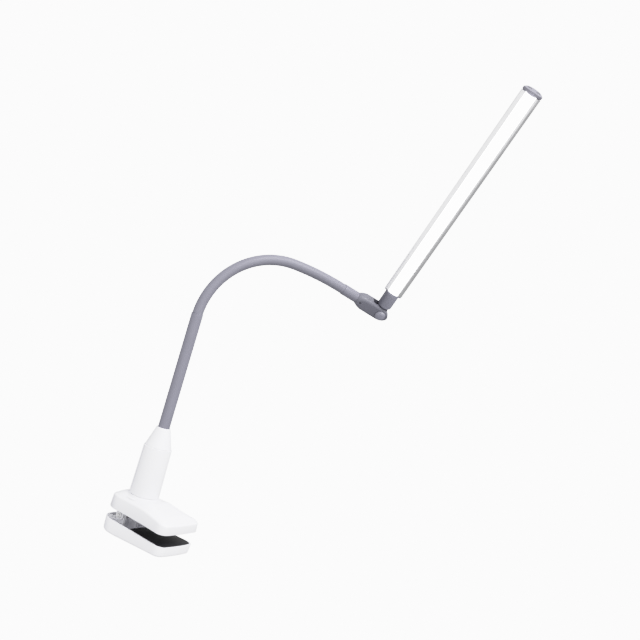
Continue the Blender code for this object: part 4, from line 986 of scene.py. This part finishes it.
def build_neck():
    profile = [(NECK_FOOT - NECK_WALL, NECK_LOW)]
    profile += [(NECK_FOOT - pull, NECK_LOW + rise) for pull, rise in NECK_FOOT_EDGE]
    profile.append((NECK_TOP, NECK_HIGH - NECK_EDGE))
    for k in range(1, NECK_EDGE_STEPS + 1):
        turn = radians(90 * k / NECK_EDGE_STEPS)
        x = NECK_TOP - NECK_EDGE * (1 - cos(turn))
        profile.append((x, NECK_HIGH - NECK_EDGE * (1 - sin(turn))))
    profile.append((NECK_TOP - NECK_WALL, NECK_HIGH))
    shape = moved(ring_solid(profile, FINE_ROUND), place(NECK_X))
    slot = prism(oval(SOCKET_HALF_WIDTH + SOCKET_MOUTH, SOCKET_HALF_HEIGHT + SOCKET_MOUTH),
                 SOCKET_MOUTH_DEPTH, NECK_OUTSIDE)
    holes = [moved(slot, place(NECK_X, 0, SOCKET_Z) @ TO_REAR),
             moved(bore(BUTTON_HOLE, MEDIUM_ROUND), along_back((NECK_X, 0, BUTTON_Z)))]
    shape = combined(shape, holes, "DIFFERENCE")
    finished("neck_shell", shape, "base", white, ["neck_housing"], 30)


def build_cone():
    foot = NECK_HIGH + SEAM
    spigot = NECK_TOP - NECK_WALL - GAP
    outside = rounded([(spigot, foot), (CONE_FOOT_RADIUS, foot), (CONE_FOOT_RADIUS, foot + CONE_FOOT_EDGE),
                     (CONE_TOP_RADIUS + CONE_RIM, CONE_TOP - CONE_RIM_DROP), (CONE_TOP_RADIUS, CONE_TOP),
                     (CONE_BORE, CONE_TOP), (CONE_BORE, CONE_WEB)], CONE_EASE, EASE_STEPS)
    inside = [(CONE_WEB_RADIUS, CONE_WEB), (spigot - CONE_WALL, foot + CONE_SHOULDER),
              (spigot - CONE_WALL, foot - CONE_SPIGOT), (spigot, foot - CONE_SPIGOT)]
    shape = moved(ring_solid(inside + outside, FINE_ROUND), place(NECK_X))
    finished("neck_cone_cap", shape, "base", white, ["neck_cone"], 30)


def build_button():
    button = turned(rounded(BUTTON_PROFILE, BUTTON_EASE, BUTTON_EASE_STEPS), MEDIUM_ROUND)
    finished("neck_button", moved(button, along_back((NECK_X, 0, BUTTON_Z))), "button", grey,
             ["power_button"], 40)


def build_stem():
    top = rounded([(STEM_BORE, STEM_TOP - STEM_BORE_TOP), (STEM_BORE, STEM_TOP), (STEM_RADIUS, STEM_TOP),
                 (STEM_RADIUS, STEM_TOP - STEM_NECK)], STEM_EASE, EASE_STEPS)
    steps = [(STEM_RADIUS, mix(STEM_TOP - STEM_NECK, STEM_FOOT, k / STEM_STEPS))
             for k in range(1, STEM_STEPS + 1)]
    shape = moved(ring_solid(top + steps + [(STEM_BORE, STEM_FOOT)]), place(NECK_X))
    finished("stem_tube", shape, "base", stem_paint, ["stem_sleeve"], 30)


def build_socket():
    outline = oval(SOCKET_HALF_WIDTH, SOCKET_HALF_HEIGHT)
    hollow = [(x * SOCKET_SKIN_SHARE[0], y * SOCKET_SKIN_SHARE[1]) for x, y in outline]
    well = prism(hollow, SOCKET_BACK + SOCKET_FLOOR, SOCKET_WELL_END)
    shape = combined(prism(outline, SOCKET_BACK, SOCKET_FRONT), [well], "DIFFERENCE")
    tongue = block((-SOCKET_TONGUE.x, -SOCKET_TONGUE.y, SOCKET_TONGUE_BACK),
                   (SOCKET_TONGUE.x, SOCKET_TONGUE.y, SOCKET_TONGUE_FRONT))
    shape = combined(shape, [tongue], "UNION")
    finished("neck_socket", moved(shape, place(NECK_X, 0, SOCKET_Z) @ TO_REAR), "base", steel,
             ["charge_socket"], 30)


# ---------------- gooseneck


def arm_point(distance):
    """Centre and heading of the arm, by distance from the start of its bend."""
    turn = 0.0
    across = 0.0
    height = ARC_START
    left = distance
    for radius, angle in ARCS:
        step = min(left / radius, angle)
        across += radius * (cos(turn) - cos(turn + step))
        height += radius * (sin(turn + step) - sin(turn))
        turn += step
        left -= step * radius
    across += left * sin(turn)
    height += left * cos(turn)
    outward = Vector((cos(ARM_HEADING), sin(ARM_HEADING), 0))
    centre = Vector((NECK_X, 0, height)) + outward * across
    return centre, outward * sin(turn) + Vector((0, 0, cos(turn)))


ARM_SIDE = Vector((sin(ARM_HEADING), -cos(ARM_HEADING), 0))
FLEXIBLE = sum(radius * angle for radius, angle in ARCS) + STRAIGHT


def arm_ring(distance):
    centre, heading = arm_point(distance)
    out = ARM_SIDE.cross(heading)
    step = 2 * pi / GOOSE_SIDES
    return [centre + (out * cos(step * k) + ARM_SIDE * sin(step * k)) * GOOSE_RADIUS
            for k in range(GOOSE_SIDES)]


def build_gooseneck():
    """One sleeve piece for each hinge, which meets its neighbours in the middle of a link."""
    hinge_at = [FLEXIBLE * (n - 0.5) / HINGES for n in range(1, HINGES + 1)]
    cuts = [STEM_TOP - ARC_START + GOOSE_SEAM]
    cuts += [(a + b) / 2 for a, b in zip(hinge_at, hinge_at[1:])]
    cuts.append(FLEXIBLE - GOOSE_SEAM)
    for n in range(1, HINGES + 1):
        low, high = cuts[n - 1], cuts[n]
        rings = [arm_ring(mix(low, high, i / GOOSE_STEPS)) for i in range(GOOSE_STEPS + 1)]
        nodes = [f"gooseneck_segment_{n}"]
        if n == HINGES:
            nodes.append(f"gooseneck_segment_{HINGES + 1}")
        piece = finished(f"gooseneck_sleeve_{n}", loft(rings), None, sleeve, nodes, 50)
        reach = min(hinge_at[n - 1] - low, high - hinge_at[n - 1]) * GOOSE_BEND_SHARE
        start, _ = arm_point(hinge_at[n - 1] - reach)
        end, _ = arm_point(hinge_at[n - 1] + reach)
        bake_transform(piece)


# ---------------- clevis


def pivot_frame():
    """Origin on the pivot, Z along the pin, X along the arm."""
    end, heading = arm_point(FLEXIBLE)
    pivot = end + heading * SLEEVE_TO_PIVOT
    lift = heading.cross(ARM_SIDE)
    pin = ARM_SIDE * cos(CLEVIS_ROLL) + lift * sin(CLEVIS_ROLL)
    axes = Matrix((heading, pin.cross(heading), pin)).transposed().to_4x4()
    return place(*pivot) @ axes


def box_ring(x, half_y, half_z, corner):
    """A ring across the arm: a box with rounded corners."""
    corner = min(corner, half_y, half_z)
    points = []
    for side_y, side_z, start in ((1, 1, 0), (-1, 1, 90), (-1, -1, 180), (1, -1, 270)):
        centre = (side_y * (half_y - corner), side_z * (half_z - corner))
        turned_corner = arc(centre, corner, start, start + 90, CLEVIS_CORNER_STEPS)
        points += [Vector((x, y, z)) for y, z in turned_corner]
    return points


def with_bevel(piece, width):
    modifier = piece.modifiers.new("edges", "BEVEL")
    modifier.width = width
    modifier.segments = BEVEL_SEGMENTS
    modifier.limit_method = "ANGLE"
    modifier.angle_limit = radians(BEVEL_ANGLE)
    modifier.harden_normals = True


def clevis_form():
    """The fork before it is cut: it swells from the arm to flat cheeks with a round end."""
    start = -CLEVIS_FOOT + CLEVIS_FOOT_STEP
    rings = [box_ring(-CLEVIS_FOOT, CLEVIS_FOOT_HALF, CLEVIS_FOOT_HALF, CLEVIS_FOOT_CORNER),
             box_ring(start, SLEEVE_RADIUS, SLEEVE_RADIUS, CLEVIS_FOOT_CORNER)]
    for share in CLEVIS_SWELL_SHARES:
        ease = sin(share * pi / 2) ** CLEVIS_SWELL_POWER
        half_y = mix(SLEEVE_RADIUS, CLEVIS_HALF_HEIGHT, ease)
        half_z = mix(SLEEVE_RADIUS, CLEVIS_HALF_THICK, ease)
        corner = mix(SLEEVE_RADIUS, CLEVIS_SWELL_CORNER, share)
        rings.append(box_ring(mix(start, -CLEVIS_SHOULDER, share), half_y, half_z, corner))
    for x in (-CLEVIS_WAIST, 0):
        rings.append(box_ring(x, CLEVIS_HALF_HEIGHT, CLEVIS_HALF_THICK, CLEVIS_CORNER))
    for i in range(1, CLEVIS_END_STEPS + 1):
        turn = radians(CLEVIS_END_TURN * i / CLEVIS_END_STEPS)
        corner = max(CLEVIS_CORNER * cos(turn), CLEVIS_LEAST_CORNER)
        rings.append(box_ring(CLEVIS_END * sin(turn), CLEVIS_HALF_HEIGHT * cos(turn),
                              CLEVIS_HALF_THICK, corner))
    return loft(rings)


def build_clevis(world):
    to_arm = Matrix.Rotation(radians(-90), 4, "Y")
    sleeve_end = CLEVIS_FOOT + GAP
    profile = rounded([(SLEEVE_BORE, SLEEVE_TO_PIVOT), (SLEEVE_RADIUS, SLEEVE_TO_PIVOT),
                     (SLEEVE_RADIUS, sleeve_end), (SLEEVE_TENON, sleeve_end)], SLEEVE_EASE, EASE_STEPS)
    tenon_end = CLEVIS_FOOT - SLEEVE_TENON_LENGTH
    profile += [(SLEEVE_TENON, tenon_end), (SLEEVE_BORE, tenon_end)]
    finished("arm_ferrule", ring_solid(profile), "clevis", stem_paint, ["upper_sleeve"], 30,
             world @ to_arm)

    cuts = [block((-SLOT_DEPTH, -CLEVIS_REACH, -SLOT_HALF), (CLEVIS_REACH, CLEVIS_REACH, SLOT_HALF)),
            bore(PIVOT_HOLE, SMALL_ROUND),
            moved(bore(CLEVIS_MORTISE, SMALL_ROUND, CLEVIS_FOOT), to_arm),
            moved(bore(SET_SCREW_HOLE, HOLE_ROUND), place(SET_SCREW_X))]
    for side in (1, -1):
        recess = bore(CLEVIS_RECESS, SMALL_ROUND, CLEVIS_HALF_THICK)
        cuts.append(moved(recess, Matrix.Diagonal((1, side, side, 1))))
    shape = combined(clevis_form(), cuts, "DIFFERENCE")
    piece = finished("clevis_body", shape, "clevis", grey, ["clevis_housing"], 28, world)
    with_bevel(piece, CLEVIS_EDGE)

    screw = turned(rounded(SET_SCREW_PROFILE, SET_SCREW_EASE), HOLE_ROUND)
    screw = combined(screw, [bore(HEX_HOLE, 6)], "DIFFERENCE")
    finished("clevis_grub_screw", screw, "clevis", dark_steel, ["clevis_set_screw"], 30,
             world @ place(SET_SCREW_X))
    build_domes(world)


def build_domes(world):
    low = CLEVIS_HALF_THICK + DOME_GAP
    spring = low + DOME_RIM
    profile = [(DOME_ROOM_RADIUS, low + DOME_ROOM_DEPTH), (DOME_ROOM_RADIUS, low), (DOME_FOOT, low),
               (DOME_RADIUS, low + DOME_FOOT_EDGE), (DOME_RADIUS, spring)]
    for i in range(1, DOME_STEPS + 1):
        turn = radians(DOME_TURN * i / DOME_STEPS)
        profile.append((DOME_RADIUS * cos(turn), spring + DOME_RISE * sin(turn)))
    for side, name in ((1, "front"), (-1, "back")):
        finished(f"pivot_dome_{name}", turned(profile, DOME_ROUND), "clevis", grey,
                 [f"pivot_cap_{name}"], 40, world @ Matrix.Diagonal((1, side, side, 1)))


# ---------------- head


def channel_outer():
    """Half of the bar's outer section: x across, y to the front."""
    half = rounded(BAR_SHOULDER, BAR_SHOULDER_EASE, BAR_SHOULDER_STEPS)
    for i in range(1, BAR_BACK_STEPS):
        turn = radians(90 * i / BAR_BACK_STEPS)
        half.append((BAR_BODY_HALF * cos(turn), BAR_SPRING - BAR_DEPTH * sin(turn)))
    return half


def channel_inner(inset=0.0):
    """Half of the bar's hollow."""
    wide = CAVITY_HALF - inset
    half = [(wide, CAVITY_TOP - inset)]
    for i in range(CAVITY_STEPS):
        turn = radians(90 * i / CAVITY_STEPS)
        half.append((wide * cos(turn), BAR_SPRING - (CAVITY_DEPTH - inset) * sin(turn)))
    return half


def mirrored(half):
    return half + [(-x, y) for x, y in reversed(half)]


def lens_section():
    """A thin arched strip with two short legs."""
    outer = [(LENS_HALF, LENS_FOOT)]
    inner = [(LENS_HALF - LENS_WALL, LENS_FOOT)]
    for i in range(LENS_STEPS + 1):
        turn = radians(90 * i / LENS_STEPS)
        outer.append((LENS_HALF * cos(turn), LENS_SPRING + LENS_RISE * sin(turn)))
        inner.append(((LENS_HALF - LENS_WALL) * cos(turn),
                      LENS_SPRING + (LENS_RISE - LENS_WALL) * sin(turn)))
    left_outer = [(-x, y) for x, y in reversed(outer)]
    left_inner = [(-x, y) for x, y in inner[:-1]]
    return outer[:-1] + left_outer + left_inner + inner[::-1]


def along_bar(section):
    """A section drawn out to the length of the bar."""
    rings = []
    for k in range(BAR_STEPS + 1):
        z = mix(BAR_START, CHANNEL_END, k / BAR_STEPS)
        rings.append([Vector((x, y, z)) for x, y in section])
    return loft(rings)


def build_knuckle(tilt):
    along = place(y=HEAD_OFFSET) @ Matrix.Rotation(radians(90), 4, "Y")
    shoulder = BARREL_START - GAP
    outline = arc((0, 0), TONGUE_RADIUS, 90, 270, TONGUE_STEPS)
    outline += [(shoulder, -TONGUE_RADIUS), (shoulder, TONGUE_RADIUS)]
    spigot = moved(bore(SPIGOT, SMALL_ROUND), along)
    shape = combined(prism(outline, -TONGUE_HALF, TONGUE_HALF), [spigot], "UNION")
    screw_hole = moved(bore(SPIGOT_HOLE, HOLE_ROUND, BARREL_START), along)
    shape = combined(shape, [bore(TONGUE_HOLE, PIN_ROUND), screw_hole], "DIFFERENCE")
    piece = finished("head_knuckle", shape, "knuckle", grey, ["knuckle"], 30, tilt)
    with_bevel(piece, KNUCKLE_EDGE)


def build_barrel(world):
    plate_low = BAR_START - PLATE_THICK - GAP
    profile = [(BARREL_RADIUS - pull, BARREL_START + rise) for pull, rise in BARREL_EDGE]
    profile.append((BARREL_RADIUS, plate_low + FLANGE_EMBED))
    section = [(x * FLANGE_SHARE, (y - FLANGE_SHIFT) * FLANGE_SHARE) for x, y in mirrored(channel_outer())]
    plug = prism(mirrored(channel_inner(PLUG_SLACK)), BAR_START - PLUG_EMBED, BAR_START + BARREL_PLUG)
    shape = combined(turned(profile), [prism(section, plate_low, BAR_START - GAP), plug], "UNION")
    bores = [bore(BARREL_BORE, SMALL_ROUND, BARREL_START), bore(BARREL_WELL, SMALL_ROUND),
             bore(BARREL_SCREW_HOLE, HOLE_ROUND, BARREL_START)]
    shape = combined(shape, bores, "DIFFERENCE")
    finished("head_barrel", shape, "head", grey, ["barrel"], 30, world)


def build_bar(world):
    inner = channel_inner()
    loop = mirrored(channel_outer()) + [(-LENS_SEAT_HALF, CAVITY_TOP)] + [(-x, y) for x, y in inner]
    loop += inner[::-1] + [(LENS_SEAT_HALF, CAVITY_TOP)]
    finished("head_channel_extrusion", along_bar(loop), "head", aluminium,
             ["head_channel"], 24, world)
    finished("head_diffuser", along_bar(lens_section()), "head", opal, ["diffuser"], 30,
             world)


def build_end_cap(world):
    cap = prism(mirrored(channel_outer()), BAR_END - CAP_THICK, BAR_END, CAP_EDGE, CAP_EDGE_STEPS)
    plug = prism(mirrored(channel_inner(PLUG_SLACK)), CHANNEL_END - CAP_PLUG,
                 BAR_END - CAP_THICK + PLUG_EMBED)
    shape = combined(cap, [plug], "UNION")
    cuts = []
    for x in (CAP_SCREW_X, -CAP_SCREW_X):
        hole = bore(CAP_SCREW_HOLE, HOLE_ROUND, BAR_END)
        sink = turned([(radius, BAR_END + z) for radius, z in CAP_SCREW_SINK], SMALL_ROUND)
        cuts += [moved(cut, place(x, CAP_SCREW_Y)) for cut in (hole, sink)]
    shape = combined(shape, cuts, "DIFFERENCE")
    finished("head_end_cap", shape, "head", cap_grey, ["end_cap"], 24, world)
    for number, x in ((1, CAP_SCREW_X), (2, -CAP_SCREW_X)):
        screw = turned([(radius, BAR_END + z) for radius, z in CAP_SCREW_PROFILE], PIN_ROUND)
        low, high = BAR_END - CROSS_DEPTH, BAR_END + CUT_PAST
        cross = [block((-CROSS_LONG, -CROSS_SHORT, low), (CROSS_LONG, CROSS_SHORT, high)),
                 block((-CROSS_SHORT, -CROSS_LONG, low), (CROSS_SHORT, CROSS_LONG, high))]
        finished(f"head_cap_screw_{number}", combined(screw, cross, "DIFFERENCE"), "head", dark_steel,
                 [f"end_cap_screw_{number}"], 30, world @ place(x, CAP_SCREW_Y))


def build_head(clevis):
    tilt = clevis @ Matrix.Rotation(HEAD_TILT, 4, "Z")
    to_bar = Matrix(((0, 0, 1), (1, 0, 0), (0, 1, 0))).to_4x4()
    world = tilt @ place(y=HEAD_OFFSET) @ Matrix.Rotation(HEAD_SWIVEL, 4, "X") @ to_bar
    build_knuckle(tilt)
    build_barrel(world)
    build_bar(world)
    build_end_cap(world)


build_upper_jaw()
build_lower_jaw()
build_pin()
build_spring()
build_neck()
build_cone()
build_button()
build_stem()
build_socket()
build_gooseneck()
pivot_place = pivot_frame()
build_clevis(pivot_place)
build_head(pivot_place)

node_looks = {
    "neck_screw_1": steel, "neck_screw_2": steel, "neck_screw_3": steel, "stem_washer": steel,
    "stem_nut": brass, "battery_cell": cell_wrap, "charge_board": board_green, "push_switch": rubber,
    "pivot_bolt": steel, "pivot_nut": steel, "friction_washer_1": nylon, "friction_washer_2": nylon,
    "swivel_screw": steel, "led_board": board_white,
}
for name, look in node_looks.items():
    node = frame["nodes"][name]
    node.data.materials.clear()
    node.data.materials.append(look)


# ---------------- stage, light and camera


def two_faced(tree, output, kind, coords, direction, tint, span, strengths):
    """Flat white to the camera, and to everything else a light that grows along a direction."""
    tree.nodes.clear()
    out = tree.nodes.new(output)
    path = tree.nodes.new("ShaderNodeLightPath")
    mixer = tree.nodes.new("ShaderNodeMixShader")
    seen = tree.nodes.new(kind)
    seen.inputs["Color"].default_value = (BACKDROP, BACKDROP, BACKDROP, 1)
    cast = tree.nodes.new(kind)
    cast.inputs["Color"].default_value = (tint, tint, tint, 1)
    where = tree.nodes.new("ShaderNodeTexCoord")
    along = tree.nodes.new("ShaderNodeVectorMath")
    along.operation = "DOT_PRODUCT"
    along.inputs[1].default_value = direction
    fade = tree.nodes.new("ShaderNodeMapRange")
    for name, value in zip(("From Min", "From Max", "To Min", "To Max"), (*span, *strengths)):
        fade.inputs[name].default_value = value
    tree.links.new(where.outputs[coords], along.inputs[0])
    tree.links.new(along.outputs["Value"], fade.inputs["Value"])
    tree.links.new(fade.outputs["Result"], cast.inputs["Strength"])
    tree.links.new(path.outputs["Is Camera Ray"], mixer.inputs["Fac"])
    tree.links.new(cast.outputs[0], mixer.inputs[1])
    tree.links.new(seen.outputs[0], mixer.inputs[2])
    tree.links.new(mixer.outputs[0], out.inputs["Surface"])


def build_floor():
    shape = bmesh.new()
    side = FLOOR_SIDE
    z = cad_low.z - FLOOR_DROP
    corners = ((-side, -side), (side, -side), (side, side), (-side, side))
    shape.faces.new([shape.verts.new((x, y, z)) for x, y in corners])
    data = bpy.data.meshes.new("floor")
    shape.to_mesh(data)
    shape.free()
    floor = bpy.data.objects.new("floor", data)
    bpy.context.scene.collection.objects.link(floor)
    look = bpy.data.materials.new("studio_floor")
    look.use_nodes = True
    two_faced(look.node_tree, "ShaderNodeOutputMaterial", "ShaderNodeEmission", "Object", FLOOR_LIGHT_FROM,
              FLOOR_TINT, FLOOR_FADE, (FLOOR_DARK, FLOOR_LIGHT))
    data.materials.append(look)


def build_sky():
    world = bpy.data.worlds.new("studio")
    bpy.context.scene.world = world
    world.use_nodes = True
    two_faced(world.node_tree, "ShaderNodeOutputWorld", "ShaderNodeBackground", "Generated", SKY_FROM,
              SKY_TINT, (-1, 1), (SKY_DIM, SKY_BRIGHT))


def area_light(name, place_at, target, size, power):
    data = bpy.data.lights.new(name, "AREA")
    data.shape = "DISK"
    data.size = size
    data.energy = power
    lamp = bpy.data.objects.new(name, data)
    bpy.context.scene.collection.objects.link(lamp)
    lamp.location = place_at
    lamp.rotation_euler = (Vector(target) - Vector(place_at)).to_track_quat("-Z", "Y").to_euler()
    lamp.visible_camera = False
    return lamp


def light_only(lamp, starts):
    """Keeps a small light to the pieces whose names start so."""
    lit = bpy.data.collections.new(lamp.name + "_lit")
    for piece in bpy.context.scene.objects:
        if piece.name.startswith(starts):
            lit.objects.link(piece)
    lamp.light_linking.receiver_collection = lit


def build_camera():
    """A nearly level view, rolled so that the stem leans."""
    level = Vector((sin(CAMERA_AZIMUTH), -cos(CAMERA_AZIMUTH), 0))
    back = level * cos(CAMERA_ELEVATION) + Vector((0, 0, sin(CAMERA_ELEVATION)))
    right = Vector((cos(CAMERA_AZIMUTH), sin(CAMERA_AZIMUTH), 0))
    up = back.cross(right)
    turned_right = right * cos(CAMERA_ROLL) + up * sin(CAMERA_ROLL)
    turned_up = up * cos(CAMERA_ROLL) - right * sin(CAMERA_ROLL)
    data = bpy.data.cameras.new("camera")
    data.lens = CAMERA_LENS
    data.sensor_width = CAMERA_SENSOR
    camera = bpy.data.objects.new("camera", data)
    bpy.context.scene.collection.objects.link(camera)
    matrix = Matrix((turned_right, turned_up, back)).transposed().to_4x4()
    matrix.translation = CAMERA_AT
    camera.matrix_world = matrix
    bpy.context.scene.camera = camera


def set_tone():
    """Shows the middle tones as they are, and lets the bright ones roll off."""
    view = bpy.context.scene.view_settings
    view.view_transform = "Standard"
    view.look = "None"
    view.use_curve_mapping = True
    mapping = view.curve_mapping
    mapping.white_level = (TONE_WHITE, TONE_WHITE, TONE_WHITE)
    curve = mapping.curves[3]
    curve.points[-1].location = (1, 1)
    for light, shown in TONE:
        curve.points.new(light / TONE_WHITE, shown)
    mapping.update()


build_floor()
build_sky()
area_light("key", KEY_AT, KEY_TO, KEY_SIZE, KEY_POWER)
side_light = area_light("side", SIDE_AT, SIDE_TO, SIDE_SIZE, SIDE_POWER)
light_only(side_light, SIDE_LIT)
build_camera()
set_tone()
